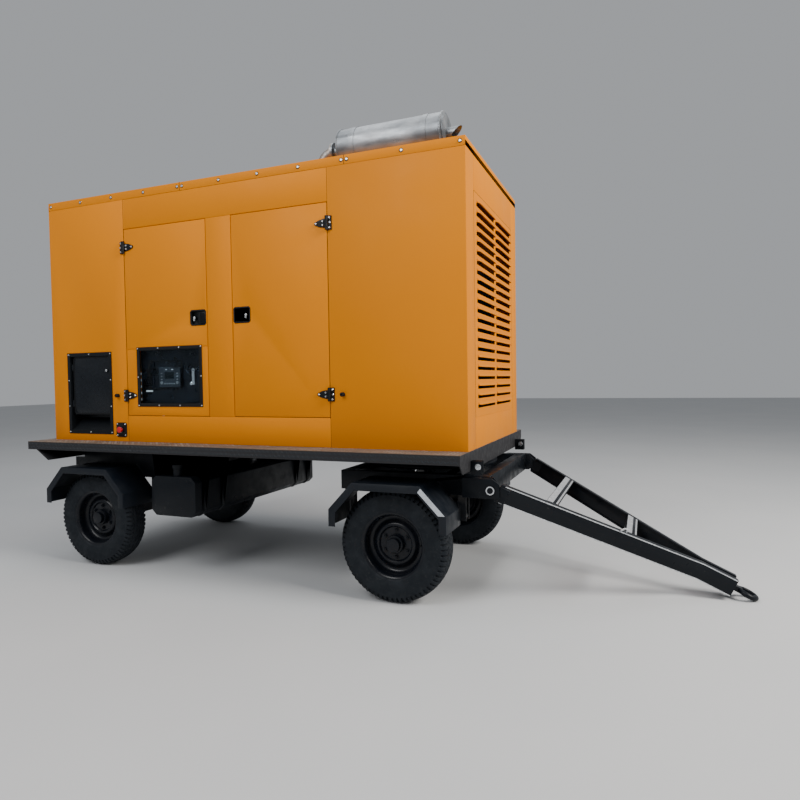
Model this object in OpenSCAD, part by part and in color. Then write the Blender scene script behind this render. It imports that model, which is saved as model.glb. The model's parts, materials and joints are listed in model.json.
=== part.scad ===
// Towable diesel generator: a sound-proof canopy on a four-wheel trailer with a
// turntable and a drawbar. Millimetres. +X points to the tow eye, +Z is up and the
// origin lies on the ground under the middle of the whole machine.
// The right side of the trailer is -Y. Most modules are drawn about the middle of
// the canopy with z = 0 on the deck, and place() then puts them in the final frame.

/* [Canopy] */
// Length of the canopy
canopy_l = 3650; // [3400:10:4380]
// Width of the canopy
canopy_w = 1584; // [1400:4:1900]
// Height of the canopy above the deck
canopy_h = 2000; // [1700:10:2400]
// Thickness of the canopy sheet metal
skin = 3; // [2:0.5:5]
// Depth of the folded panel edges
fold = 40; // [30:1:50]
// Height of the roof edge on the long sides
fascia_h = 64; // [50:1:100]
// Height of the roof edge at the two ends
end_fascia_h = 32; // [20:1:45]
// Width of the folded corner on each end wall
corner_w = 192; // [150:1:240]
// Gap round each door
door_gap = 4; // [3:0.5:6]

/* [Doors] */
// Width of each door
door_w = 800; // [700:5:850]
// Length of the bay that holds both doors of one side
bay_l = 1843; // [1820:1:1900]
// Distance of the bay's middle in front of the canopy's middle
bay_x = -83.5; // [-120:0.5:0]
// Height of the rail under the doors
sill_h = 208; // [180:1:240]
// Height of the rail over the doors
head_h = 234; // [200:1:280]
// Width of the window frame
window_w = 642; // [560:1:680]
// Height of the window frame
window_h = 473; // [400:1:520]
// Height of the latches above the deck
latch_z = 962; // [850:1:1100]
// Distance of a latch's middle from the free edge of its door
latch_inset = 82; // [78:1:110]
// Radius of the hinge pins of the doors
hinge_pin_r = 6; // [5:0.5:7]

/* [Running gear] */
// Radius of the tyres
wheel_r = 387.5; // [350:0.5:470]
// Width of the tyres
tyre_w = 196; // [160:1:210]
// Distance between the middles of the left and right tyres
track = 1560; // [1540:2:1700]
// Distance of each axle from its end of the canopy
axle_inset = 510; // [480:5:600]
// Height of the deck above the tops of the tyres
deck_clear = 245; // [240:1:320]
// Side of the square axle beams
axle_s = 80; // [60:1:90]
// Radius of the wheel spindles
spindle_r = 30; // [20:1:35]

/* [Deck] */
// Width of the deck
deck_w = 1980; // [1950:2:2100]
// How far the deck sticks out behind the canopy
deck_tail = 80; // [0:5:150]
// Depth of the folded deck edge
deck_edge = 65; // [50:1:75]

/* [Drawbar] */
// Distance from the drawbar hinge to the middle of the tow eye
bar_l = 1715; // [1500:5:2000]
// Distance of the drawbar hinge in front of the canopy
hinge_out = 120; // [110:1:160]
// Depth of the drawbar arms
arm_h = 120; // [90:1:130]
// Radius of the hole in the tow eye
eye_bore_r = 38; // [30:0.5:40]
// Radius of the drawbar hinge pins
bar_pin_r = 20; // [15:0.5:25]

/* [Exhaust] */
// Radius of the muffler
muffler_r = 155; // [120:1:170]
// Length of the muffler
muffler_l = 834; // [650:1:950]
// Outer radius of the exhaust pipes
pipe_r = 45; // [35:0.5:50]
// Gap between the roof and the muffler
muffler_gap = 105; // [80:1:140]

/* [Power unit] */
// Radius of the alternator
alternator_r = 280; // [240:1:290]
// Length of the alternator
alternator_l = 800; // [700:5:820]
// Length of the engine block
engine_l = 1150; // [1000:5:1200]
// Height of the crankshaft above the deck
crank_z = 520; // [480:1:600]
// Radius of the cooling fan
fan_r = 330; // [280:1:350]

/* [Hidden] */
$fn = 48;

// fits
run_fit = 0.05;    // radial clearance of a turning pin
rest_gap = 0.3;    // gap between pieces that rest on each other
seam = 0.5;        // gap between pieces that are bolted side by side

// places about the middle of the canopy
half_l = canopy_l / 2;
half_w = canopy_w / 2;
end_half = half_w - corner_w;
deck_z = 2 * wheel_r + deck_clear;
wall_top = canopy_h - fascia_h;
end_top = canopy_h - end_fascia_h;
bay_x0 = bay_x - bay_l / 2;
bay_x1 = bay_x + bay_l / 2;
axle_x = half_l - axle_inset;
hub_z = wheel_r - deck_z;
bar_x = half_l + hinge_out;

// doors
door_z = sill_h + door_gap;
door_h = wall_top - head_h - door_z - door_gap;
rear_door_x = bay_x0 + door_gap;
front_door_x = bay_x1 - door_gap - door_w;
window_x = rear_door_x + 424;
window_z = door_z + 306.5;
frame_lip = 20;
frame_t = 4;
pane_t = 5;
fold_seam_z = door_z + 530;
strap_t = 6;
strap_l = 96;
leaf_l = 25;
leaf_h = 96;
knuckle_r = 11;
knuckle_out = 12;
knuckle_gap = 0.5;
door_knuckle_h = 34;
hinge_low = 160;
hinge_high = 143;
latch_w = 150;
latch_h = 120;
latch_flange = 3;
cup_w = 134;
cup_h = 104;
cup_d = 30;
cup_wall = 3;
paddle_w = 66;
paddle_h = 84;
paddle_t = 5;
paddle_pin_r = 3;
paddle_knuckle_r = 6;
paddle_x = -4;
paddle_depth = 8;

// outlet pocket and emergency stop on the right rear panel
pocket_w = 491;
pocket_h = 673;
pocket_x = 412.5 - half_l;
pocket_z = 392.5;
pocket_flange = 30;
pocket_d = 120;
pocket_slot_h = 130;
pocket_door_t = 12;
pocket_pin_r = 2.5;
pocket_knuckle_r = 6;
pocket_recess = 14;
estop_x = bay_x0 - 72;
estop_z = 95;
estop_s = 110;
estop_t = 6;
estop_stem_r = 11;
estop_travel = 6;
stop_r = 15;
stop_l = 30;
stop_out = 100;

// deck and chassis
plate_t = 6;
tube_t = 8;
rail_y = 470;
rail_w = 80;
rail_z = -126;
beam_y = 606;
beam_w = 80;
beam_z = -310;
beam_tail = 458;
beam_nose_top = -165;
ring_r = 500;
ring_w = 60;
ring_t = 24;
ring_z = rail_z - seam - ring_t;
beam_top = ring_z - ring_t - 2 * rest_gap;
front_plate_h = 127;
tail_run = 226;
tail_z = -148;
tank_mid = 825 - axle_x;
tank_l = 420;
tank_w = 1760;
tank_top = -250;
tank_h = 305;
tank_chamfer = 40;
tank_wall = 4;
filler_r = 36;
filler_h = 76;
strap_ys = [-780, -560, 560, 780];
cross_s = 60;

// springs
leaf_n = 5;
leaf_t = 10;
leaf_w = 62;
leaf_half = 420;
leaf_camber = 80;
leaf_radius = (leaf_half * leaf_half + leaf_camber * leaf_camber) / (2 * leaf_camber);
leaf_angle = asin(leaf_half / leaf_radius);
leaf_eye_r = 24;
leaf_pin_r = 12;
spring_pad = 10;
spring_y = 606;
main_leaf_z = hub_z + axle_s / 2 + spring_pad + (leaf_n - 0.5) * leaf_t + leaf_n * seam;
spring_eye_z = main_leaf_z + leaf_camber;
hanger_t = 8;
clamp_x = 50;
clamp_r = 8;

// fenders
fender_z = 2 * wheel_r + 40 - deck_z;
fender_flat = 239;
fender_half = 412;
fender_drop = 185;
fender_skirt = 115;
fender_t = 4;
fender_in = track / 2 - 120;
fender_out = track / 2 + 195;
bracket_w = 40;
bracket_t = 6;
fender_flange = 50;

// wheels
rim_r = 228;
seat_r = 208;
rim_t = 8;
rim_half = tyre_w / 2 - 14;
hub_r = 62;
hub_half = 60;
cap_r = 48;
cap_out = 76;
spindle_end = 40;
nut_n = 6;
nut_pcd_r = 92;
nut_r = 14;

// drawbar
hinge_z = -255;
pin_y = 680;
arm_t = 50;
boss_t = 40;
boss_r = 52;
lug_t = 12;
lug_gap = 2;
lug_nose = 58;
inner_nose = 36;
arm_low = 55;
arm_web = 8;
kink_u = 1400 + bar_l - 1715;
nose_u = 1620 + bar_l - 1715;
nose_y = 75;
eye_bar_r = 17;
eye_mid_r = eye_bore_r + eye_bar_r - 1;
eye_land = 24;
bar_drop = asin((hinge_z + deck_z - eye_bar_r) / (bar_l + eye_mid_r));
cross_us = [330, 860];
cross_w = 76;

// exhaust
muffler_y = -205;
muffler_z = canopy_h + muffler_gap + muffler_r;
muffler_x = half_l - 1139;
inlet_x = muffler_x - 86;
bend_r = 110;
bend_a = 50;
boot_r = 90;
boot_h = 30;
bend_play = 2;
slant_x = inlet_x - bend_r * sin(bend_a);
slant_z = muffler_z - bend_r * (1 - cos(bend_a));
foot_z = canopy_h + boot_h + bend_r * cos(bend_a);
flue_x = slant_x - (slant_z - foot_z) / tan(bend_a) - bend_r * (1 - sin(bend_a));
flange_r = 75;
flange_t = 12;
tail_l = 120;
saddle_w = 40;

// power unit
radiator_x = half_l - 300;
radiator_t = 140;
radiator_h = 1300;
radiator_w = 1080;
shroud_l = 130;
fan_x = radiator_x - 90;
fan_z = 820;
fan_hub_r = 70;
blade_n = 7;
fan_spindle_r = 15;
block_x1 = fan_x - 130;
block_x0 = block_x1 - engine_l;
block_w = 440;
block_z0 = crank_z - 320;
block_z1 = crank_z + 240;
engine_head_h = 260;
engine_head_w = 340;
head_x1 = block_x1 - 30;
manifold_z = block_z1 + 190;
manifold_w = 90;
pulley_x = block_x1 + 35;
pulley_t = 30;
crank_pulley_r = 110;
crank_nose_r = 20;
fan_pulley_r = 88;
skid_y = 300;
skid_h = 100;
skid_w = 80;
skid_x0 = block_x0 - alternator_l - 50;
skid_x1 = block_x1 + 20;
cabinet_l = 660;
cabinet_z0 = 215;
cabinet_z1 = 800;
cabinet_d = 300;
cabinet_y = -half_w + fold + 12;
cabinet_x = window_x;
leg_s = 50;
controller_w = 211;
controller_h = 154;
controller_t = 12;
controller_x = window_x - 30;
controller_z = window_z - 4;
handle_x = window_x + 203;
handle_z = window_z + 46;
handle_l = 125;
handle_w = 28;
handle_t = 14;
handle_pin_r = 5;
handle_off = 3;
cleaner_r = 120;
cleaner_l = 440;
cleaner_y = 60;
cleaner_z = block_z1 + engine_head_h + 190;
battery_l = 500;
battery_w = 200;
battery_h = 230;

// the middle of the whole machine lies half way between the tail and the tow eye
nose_x = bar_x + (bar_l + eye_mid_r) * cos(bar_drop) + eye_bar_r;
tail_x = -half_l - deck_tail;
canopy_x = -(nose_x + tail_x) / 2;

// ---------------------------------------------------------------- helpers

module place() translate([canopy_x, 0, deck_z]) children();

module rod_at(x, y, z) translate([x, y, z]) children();

module both_sides() {
    children();
    mirror([0, 1, 0]) children();
}

// a profile in X and Z carried along +Y from y0
module along_y(y0, len) translate([0, y0 + len, 0]) rotate([90, 0, 0]) linear_extrude(len) children();

// a profile in Y and Z carried along +X from x0
module along_x(x0, len) translate([x0, 0, 0]) rotate([90, 0, 90]) linear_extrude(len) children();

// a cylinder whose axis is Y, from y0 to y0 + len
module rod_y(r, y0, len) translate([0, y0 + len, 0]) rotate([90, 0, 0]) cylinder(r = r, h = len);

// a cylinder whose axis is X, from x0 to x0 + len
module rod_x(r, x0, len) translate([x0, 0, 0]) rotate([0, 90, 0]) cylinder(r = r, h = len);

// a box between two corners
module block(a, b) translate(a) cube(b - a);

// a square tube along X or Y between two corners, open at both ends
module tube_x(a, b) difference() {
    block(a, b);
    block(a + [-1, tube_t, tube_t], b + [1, -tube_t, -tube_t]);
}

module tube_y(a, b) difference() {
    block(a, b);
    block(a + [tube_t, -1, tube_t], b + [-tube_t, 1, -tube_t]);
}

// an octagonal plate outline with corners cut by c
function chamfered(w, h, c) = [
    [c - w / 2, -h / 2], [w / 2 - c, -h / 2], [w / 2, c - h / 2], [w / 2, h / 2 - c],
    [w / 2 - c, h / 2], [c - w / 2, h / 2], [-w / 2, h / 2 - c], [-w / 2, c - h / 2]
];

// a sheet pressed into a shallow box that is open at the back; its face lies on y = 0
module tray(w, h) difference() {
    cube([w, fold, h]);
    translate([skin, skin, skin]) cube([w - 2 * skin, fold, h - 2 * skin]);
}

// ---------------------------------------------------------------- deck and chassis

module deck_shell() {
    // the plate and its folded long edges
    block([tail_x, -deck_w / 2, -plate_t], [half_l, deck_w / 2, 0]);
    both_sides() block([tail_x, -deck_w / 2, -deck_edge], [half_l - plate_t, plate_t - deck_w / 2, -plate_t]);
    // front plate with its lower corners cut away
    c = front_plate_h - deck_edge;
    y = deck_w / 2;
    z = -front_plate_h;
    outline = [[-y, 0], [-y, -deck_edge], [c - y, z], [y - c, z], [y, -deck_edge], [y, 0]];
    along_x(half_l - plate_t, plate_t) polygon(outline);
    // tail plate slanting down and forward
    tail = [
        [tail_x, -plate_t], [tail_x + tail_run - 8, tail_z - 3], [tail_x + tail_run, tail_z], [tail_x + 10, -plate_t]
    ];
    along_y(plate_t - y, 2 * y - 2 * plate_t) polygon(tail);
}

module deck() color("#3b3c3d") place() deck_shell();

module chassis_rail()
    tube_x([tail_x + tail_run + 9, -rail_y - rail_w / 2, rail_z], [half_l - 10, rail_w / 2 - rail_y, -plate_t]);

module cross_member(x) {
    gap = rail_w / 2 + seam;
    tube_y([x, gap - rail_y, rail_z], [x + cross_s, rail_y - gap, -plate_t]);
    both_sides() block([x, -deck_w / 2 + 12, -deck_edge], [x + cross_s, -rail_y - gap, -plate_t]);
}

// side outline of a rear beam, t inside its skin; its tail is low enough to clear the tail plate
function rear_beam_line(t) = [
    [-axle_x - beam_tail + t, beam_z + t], [leaf_half + 60 - axle_x - t, beam_z + t],
    [leaf_half + 60 - axle_x - t, -deck_edge - seam - t], [tail_x + tail_run + 9 + t, -deck_edge - seam - t],
    [tail_x + tail_run + 9 + t, beam_nose_top - t], [-axle_x - beam_tail + t, beam_nose_top - t]
];

// long box beam that carries the rear springs
module rear_beam() difference() {
    along_y(-beam_y - beam_w / 2, beam_w) polygon(rear_beam_line(0));
    along_y(tube_t - beam_y - beam_w / 2, beam_w - 2 * tube_t) polygon(rear_beam_line(tube_t));
}

module turntable_ring(z) translate([axle_x, 0, z]) difference() {
    cylinder(r = ring_r, h = ring_t);
    translate([0, 0, -1]) cylinder(r = ring_r - ring_w, h = ring_t + 2);
}

module chassis_frame() color("#2f3031") place() {
    both_sides() chassis_rail();
    tank_half = tank_l / 2;
    for (x = [tail_x + 240, 300 - axle_x, tank_mid - tank_half - 90, tank_mid + tank_half + 30]) cross_member(x);
    for (x = [axle_x - ring_r - 150, half_l - 90]) cross_member(x);
    both_sides() rear_beam();
    for (dx = [-leaf_half, leaf_half - 60]) {
        y = beam_y - beam_w / 2 - seam;
        tube_y([dx - axle_x, -y, beam_z], [dx - axle_x + 60, y, beam_z + 100]);
    }
    turntable_ring(ring_z);
    both_sides() ears();
}

// ears and their bolt in place on the front plate
module ears() {
    for (y = [-750, -710]) block([half_l, y, -150], [half_l + 76, y + 10, -62]);
    translate([half_l + 50, 0, -100]) rod_y(11, -756, 62);
}

module axle_beam() {
    end = track / 2 - 130;
    block([-axle_s / 2, -end, -axle_s / 2], [axle_s / 2, end, axle_s / 2]);
    both_sides() {
        rod_y(spindle_r + 8, -end - 40, 45);
        rod_y(spindle_r, -track / 2 - spindle_end, spindle_end + 95);
        block([-30, -spring_y - leaf_w / 2, 0], [30, leaf_w / 2 - spring_y, axle_s / 2 + spring_pad - rest_gap]);
    }
}

module rear_axle() color("#2b2b2c") place() translate([-axle_x, 0, hub_z]) axle_beam();

module front_axle() color("#2b2b2c") place() translate([axle_x, 0, hub_z]) axle_beam();

// one curved leaf; k counts down from the main leaf
module leaf(k) {
    r = leaf_radius + k * (leaf_t + seam);
    a = leaf_angle * (0.96 - 0.16 * k);
    translate([0, 0, main_leaf_z + leaf_radius]) rotate([90, 0, 0]) rotate([0, 0, -90 - a])
        rotate_extrude(angle = 2 * a, $fn = 90) translate([r - leaf_t / 2, -leaf_w / 2]) square([leaf_t, leaf_w]);
}

// the main leaf ends in an eye round the hanger's pin
module main_leaf() difference() {
    union() {
        leaf(0);
        for (x = [-leaf_half, leaf_half]) translate([x, 0, spring_eye_z]) rod_y(leaf_eye_r, -leaf_w / 2, leaf_w);
    }
    for (x = [-leaf_half, leaf_half])
        translate([x, 0, spring_eye_z]) rod_y(leaf_pin_r + run_fit, -leaf_w, 2 * leaf_w);
}

module spring_hanger(x) translate([x, 0, 0]) {
    y = leaf_w / 2 + 1;
    for (s = [-y - hanger_t, y]) block([-28, s, spring_eye_z - 28], [28, s + hanger_t, beam_z]);
    block([-28, -y, beam_z - hanger_t], [28, y, beam_z]);
    translate([0, 0, spring_eye_z]) rod_y(leaf_pin_r, -y - 1, 2 * y + 2);
}

// plates above and below the axle with four rods between them
module spring_clamp() {
    low = hub_z - axle_s / 2;
    high = main_leaf_z + leaf_t / 2;
    block([-30, -leaf_w / 2, high + 0.8], [30, leaf_w / 2, high + 14]);
    block([-66, -52, high + 6], [66, 52, high + 18]);
    block([-66, -52, low - 12], [66, 52, low]);
    for (x = [-clamp_x, clamp_x], y = [-42, 42]) translate([x, y, low - 24]) cylinder(r = clamp_r, h = high - low + 56);
}

module spring_set(x) both_sides() translate([x, -spring_y, 0]) {
    main_leaf();
    for (k = [1:leaf_n - 1]) leaf(k);
    for (s = [-leaf_half, leaf_half]) spring_hanger(s);
    spring_clamp();
}

module rear_springs() color("#28292a") place() spring_set(-axle_x);

module front_springs() color("#28292a") place() spring_set(axle_x);

// outline of a bent fender plate, w thick measured inwards
function fender_line(w) = [
    [-fender_half + w, fender_z - fender_drop - fender_skirt],
    [-fender_half + w, fender_z - fender_drop - 0.4 * w],
    [-fender_flat + 0.4 * w, fender_z - w], [fender_flat - 0.4 * w, fender_z - w],
    [fender_half - w, fender_z - fender_drop - 0.4 * w],
    [fender_half - w, fender_z - fender_drop - fender_skirt]
];

function reversed(list) = [for (i = [len(list) - 1:-1:0]) list[i]];

module fender_band(w) polygon(concat(fender_line(0), reversed(fender_line(w))));

module fender(x) translate([x, 0, 0]) {
    along_y(-fender_out, fender_out - fender_in) fender_band(fender_t);
    along_y(-fender_out, fender_t) fender_band(fender_flange);
    for (s = [-150, 110]) {
        top = fender_z - fender_t;
        block([s, 100 - fender_out, top - bracket_t], [s + bracket_w, -beam_y - beam_w / 2, top + 1]);
    }
}

module rear_fenders() color("#34373a") place() both_sides() fender(-axle_x);

module front_fenders() color("#34373a") place() both_sides() fender(axle_x);

module tank_outline(grow) translate([tank_mid, tank_top - tank_h / 2])
    polygon(chamfered(tank_l + 2 * grow, tank_h + 2 * grow, tank_chamfer + 0.6 * grow));

// a band round the tank, with tabs up to the cross members
module tank_strap(y) {
    along_y(y - 20, 40) difference() {
        tank_outline(rest_gap + 4);
        tank_outline(rest_gap);
    }
    for (s = [-1, 1]) {
        x = tank_mid + s * (tank_l / 2 + rest_gap + 2);
        block([x - 2, y - 20, tank_top - tank_h / 2], [x + 2, y + 20, -deck_edge - 30]);
        block([x - 2 - (s < 0 ? 60 : 0), y - 20, -deck_edge - 6], [x + 2 + (s > 0 ? 60 : 0), y + 20, -deck_edge]);
        block([x - 2, y - 20, -deck_edge - 31], [x + 2, y + 20, -deck_edge - 5]);
    }
}

module fuel_tank() color("#1f2021") place() {
    filler_y = 60 - tank_w / 2;
    difference() {
        union() {
            along_y(-tank_w / 2, tank_w) tank_outline(0);
            translate([tank_mid, filler_y, tank_top - 1]) cylinder(r = filler_r, h = filler_h);
        }
        along_y(tank_wall - tank_w / 2, tank_w - 2 * tank_wall) tank_outline(-tank_wall);
        translate([tank_mid, filler_y, tank_top - 40]) cylinder(r = filler_r - tank_wall, h = filler_h + 50);
    }
    for (y = strap_ys) tank_strap(y);
    // the filler's cap
    translate([tank_mid, filler_y, tank_top - 1 + filler_h]) difference() {
        translate([0, 0, -16]) cylinder(r = filler_r + 8, h = 28);
        translate([0, 0, -17]) cylinder(r = filler_r + rest_gap, h = 17 + rest_gap);
    }
}

// ---------------------------------------------------------------- canopy

// corner panel of the right front, folded round onto the end wall
module corner_panel(x0) {
    y = -half_w;
    end_part = [
        [half_l, y + skin], [half_l, -end_half], [half_l - fold, -end_half],
        [half_l - fold, -end_half - skin], [half_l - skin, -end_half - skin], [half_l - skin, y + skin]
    ];
    side_part = [
        [x0, y], [half_l, y], [half_l, y + 2 * skin], [half_l - skin, y + 2 * skin],
        [half_l - skin, y + skin], [x0 + skin, y + skin], [x0 + skin, y + fold], [x0, y + fold]
    ];
    linear_extrude(wall_top) polygon(side_part);
    linear_extrude(end_top) polygon(end_part);
}

module rear_corner_panel() mirror([1, 0, 0]) corner_panel(-bay_x0);

module side_panels() color("#d98a1e") place() {
    both_sides() corner_panel(bay_x1);
    mirror([0, 1, 0]) rear_corner_panel();
    difference() {
        rear_corner_panel();
        w = pocket_w / 2 - pocket_flange / 2;
        h = pocket_h / 2 - pocket_flange / 2;
        translate([pocket_x, -half_w, pocket_z]) block([-w, -5, -h], [w, fold, h]);
        translate([estop_x, -half_w, estop_z]) rod_y(20, -5, fold);
    }
}

// rails over and under the doors and the post between them, all bolted side by side
module door_surround() color("#d98a1e") place() both_sides() translate([0, -half_w, 0]) {
    post_x = rear_door_x + door_w + door_gap;
    translate([bay_x0 + seam, 0, 0]) tray(bay_l - 2 * seam, sill_h);
    translate([bay_x0 + seam, 0, wall_top - head_h]) tray(bay_l - 2 * seam, head_h - seam);
    translate([post_x, 0, sill_h + seam])
        tray(front_door_x - door_gap - post_x, wall_top - head_h - sill_h - 2 * seam);
}

module roof() color("#d98a1e") place() difference() {
    block([-half_l, -half_w, wall_top + seam], [half_l, half_w, canopy_h]);
    block([skin - half_l, skin - half_w, wall_top - 1], [half_l - skin, half_w - skin, canopy_h - skin]);
    block([-half_l - 1, skin - half_w, wall_top - 1], [half_l + 1, half_w - skin, end_top + seam]);
    translate([flue_x, muffler_y, canopy_h - skin - 1]) cylinder(r = pipe_r + 15, h = skin + 2);
}

louvre_z0 = 210;
louvre_z1 = wall_top - head_h + 6;
slot_pitch = 64.4;
slot_h = 34;
slot_in = 25;
slot_out = 530 + end_half - 600;
hood_out = 22;

module front_wall() color("#d98a1e") place() {
    block([half_l - skin, seam - end_half, 0], [half_l, end_half - seam, louvre_z0 - seam]);
    block([half_l - skin, seam - end_half, louvre_z1 + seam], [half_l, end_half - seam, end_top]);
}

// rows of slots, each under a hood pressed outwards; rows count up from z0
module louvres(x, z0, rows, y_in, y_out) {
    hood = [[-1, slot_h + 7], [hood_out, 3], [hood_out, 0], [hood_out - skin, 0], [-1, slot_h + 1]];
    for (i = [0:rows - 1]) both_sides() {
        translate([x, y_in, z0 + i * slot_pitch]) rotate([90, 0, 0]) mirror([0, 0, 1])
            linear_extrude(y_out - y_in) polygon(hood);
    }
}

module louvre_slots(x, z0, rows, y_in, y_out) for (i = [0:rows - 1]) both_sides() {
    z = z0 + i * slot_pitch;
    block([x - skin - 1, y_in + 2, z], [x + 1, y_out - 2, z + slot_h - 4]);
}

front_rows = floor((louvre_z1 - louvre_z0 - 80) / slot_pitch);
front_z0 = (louvre_z0 + louvre_z1 - front_rows * slot_pitch) / 2 + 25;

module front_louvre() color("#d98a1e") place() {
    difference() {
        block([half_l - skin, seam - end_half, louvre_z0], [half_l, end_half - seam, louvre_z1]);
        louvre_slots(half_l, front_z0, front_rows, slot_in, slot_out);
    }
    louvres(half_l, front_z0, front_rows, slot_in, slot_out);
}

rear_rows = 8;
rear_z0 = 110;

module rear_wall() color("#d98a1e") place() mirror([1, 0, 0]) {
    difference() {
        block([half_l - skin, seam - end_half, 0], [half_l, end_half - seam, end_top]);
        louvre_slots(half_l, rear_z0, rear_rows, slot_in, slot_out);
    }
    louvres(half_l, rear_z0, rear_rows, slot_in, slot_out);
    // grab handle
    translate([half_l, -end_half + 70, latch_z]) {
        for (z = [-70, 60]) block([-1, -8, z], [36, 8, z + 10]);
        block([30, -8, -70], [42, 8, 70]);
    }
}

// ---------------------------------------------------------------- doors

// what turns on a hinge is drawn from its axis towards +X; dir = -1 turns it round
module at_hinge(dir, x) translate([x, -half_w, 0]) mirror([dir < 0 ? 1 : 0, 0, 0]) children();

module strap_leaf(z) translate([0, 0, z]) {
    // tapered strap on the door, its tip rounded
    a = [[knuckle_r + 2, -32], [60, -24], [strap_l - 12, -13], [strap_l - 12, 13], [60, 24], [knuckle_r + 2, 32]];
    along_y(-strap_t, strap_t - 0.2) polygon(a);
    translate([strap_l - 12, 0, 0]) rod_y(13, -strap_t, strap_t - 0.2);
    h = door_knuckle_h / 2;
    difference() {
        union() {
            translate([0, -knuckle_out, -h]) cylinder(r = knuckle_r, h = 2 * h);
            block([2, -knuckle_out - 2, -h], [knuckle_r + 4, -0.2, h]);
        }
        translate([0, -knuckle_out, -h - 1]) cylinder(r = hinge_pin_r + run_fit, h = 2 * h + 2);
    }
}

module fixed_leaf(z) translate([0, 0, z]) {
    h = leaf_h / 2;
    in = door_knuckle_h / 2 + knuckle_gap;
    block([-leaf_l - knuckle_r, -strap_t, -h], [-knuckle_r - 2, 0, h]);
    for (s = [-h, in]) {
        translate([0, -knuckle_out, s]) cylinder(r = knuckle_r, h = h - in);
        block([-knuckle_r - 4, -knuckle_out - 2, s], [-2, -0.5, s + h - in]);
    }
    translate([0, -knuckle_out, -h]) cylinder(r = hinge_pin_r, h = 2 * h);
}

hinge_zs = [door_z + hinge_low, door_z + door_h - hinge_high];
rear_hinge_x = bay_x0 + door_gap / 2;
front_hinge_x = bay_x1 - door_gap / 2;

module hinge_leaves() color("#1b1b1c") place() both_sides() {
    for (z = hinge_zs) {
        at_hinge(1, rear_hinge_x) fixed_leaf(z);
        at_hinge(-1, front_hinge_x) fixed_leaf(z);
    }
}

module door_stops() color("#111111") place() both_sides()
    for (x = [bay_x0 - stop_out, bay_x1 + stop_out]) rod_at(x, 0, hinge_zs[0]) rod_y(stop_r, -half_w - stop_l, stop_l);

// a door panel from its hinged edge, with the hole for the latch
module door_panel() difference() {
    tray(door_w, door_h);
    translate([door_w - latch_inset - cup_w / 2 - 1, -1, latch_z - door_z - cup_h / 2 - 1])
        cube([cup_w + 2, fold, cup_h + 2]);
}

module rear_door() translate([rear_door_x, -half_w, door_z]) door_panel();

module front_door() translate([front_door_x + door_w, -half_w, door_z]) mirror([1, 0, 0]) door_panel();

// straps and the latch's cup
module fittings() {
    for (z = hinge_zs) strap_leaf(z);
    translate([door_w - latch_inset + door_gap / 2, 0, latch_z]) {
        difference() {
            union() {
                along_y(-latch_flange, latch_flange) polygon(chamfered(latch_w, latch_h, 14));
                block([-cup_w / 2, -1, -cup_h / 2], [cup_w / 2, cup_d, cup_h / 2]);
            }
            w = cup_w / 2 - cup_wall;
            h = cup_h / 2 - cup_wall;
            block([-w, -10, -h], [w, cup_d - cup_wall, h]);
        }
        translate([paddle_x, paddle_depth, -cup_h / 2 + 1]) cylinder(r = paddle_pin_r, h = cup_h - 2);
        // lock barrel
        rod = cup_w / 4 + 2;
        translate([-rod, 0, 0]) rod_y(13, 0, cup_d - 1);
    }
}

// the paddle turns about its upright pin at the lock's side
module paddle() translate([door_w - latch_inset + door_gap / 2 + paddle_x, paddle_depth, latch_z]) {
    difference() {
        union() {
            translate([0, 0, -paddle_h / 2]) cylinder(r = paddle_knuckle_r, h = paddle_h);
            block([0, -paddle_knuckle_r, -paddle_h / 2], [paddle_w, paddle_t - paddle_knuckle_r, paddle_h / 2]);
        }
        translate([0, 0, -paddle_h]) cylinder(r = paddle_pin_r + run_fit, h = 2 * paddle_h);
    }
}

module right_rear_door() color("#d98a1e") place() difference() {
    rear_door();
    translate([window_x, -half_w, window_z])
        block([frame_lip - window_w / 2, -1, frame_lip - window_h / 2], [window_w / 2 - frame_lip, fold + 1, window_h / 2 - frame_lip]);
    block([rear_door_x - 1, -half_w - 1, fold_seam_z], [rear_door_x + door_w + 1, -half_w + 1.5, fold_seam_z + 3]);
}

module right_rear_fittings() color("#1b1b1c") place() at_hinge(1, rear_hinge_x) fittings();

module right_rear_paddle() color("#2a2b2c") place() at_hinge(1, rear_hinge_x) paddle();

module right_front_door() color("#d98a1e") place() front_door();

module right_front_fittings() color("#1b1b1c") place() at_hinge(-1, front_hinge_x) fittings();

module right_front_paddle() color("#2a2b2c") place() at_hinge(-1, front_hinge_x) paddle();

module left_rear_door() color("#d98a1e") place() mirror([0, 1, 0]) rear_door();

module left_rear_fittings() color("#1b1b1c") place() mirror([0, 1, 0]) at_hinge(1, rear_hinge_x) fittings();

module left_rear_paddle() color("#2a2b2c") place() mirror([0, 1, 0]) at_hinge(1, rear_hinge_x) paddle();

module left_front_door() color("#d98a1e") place() mirror([0, 1, 0]) front_door();

module left_front_fittings() color("#1b1b1c") place() mirror([0, 1, 0]) at_hinge(-1, front_hinge_x) fittings();

module left_front_paddle() color("#2a2b2c") place() mirror([0, 1, 0]) at_hinge(-1, front_hinge_x) paddle();

// the frame laps the door's skin and holds the pane in its collar
module window_frame() color("#141415") place() translate([window_x, -half_w, window_z]) {
    w = window_w / 2;
    h = window_h / 2;
    in = frame_lip + 8;
    difference() {
        block([-w, -frame_t, -h], [w, 0, h]);
        block([in - w, -frame_t - 1, in - h], [w - in, 1, h - in]);
    }
    difference() {
        c = frame_lip + 0.5;
        block([c - w, -1, c - h], [w - c, 12, h - c]);
        block([c + 4 - w, -2, c + 4 - h], [w - c - 4, 13, h - c - 4]);
    }
}

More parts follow.
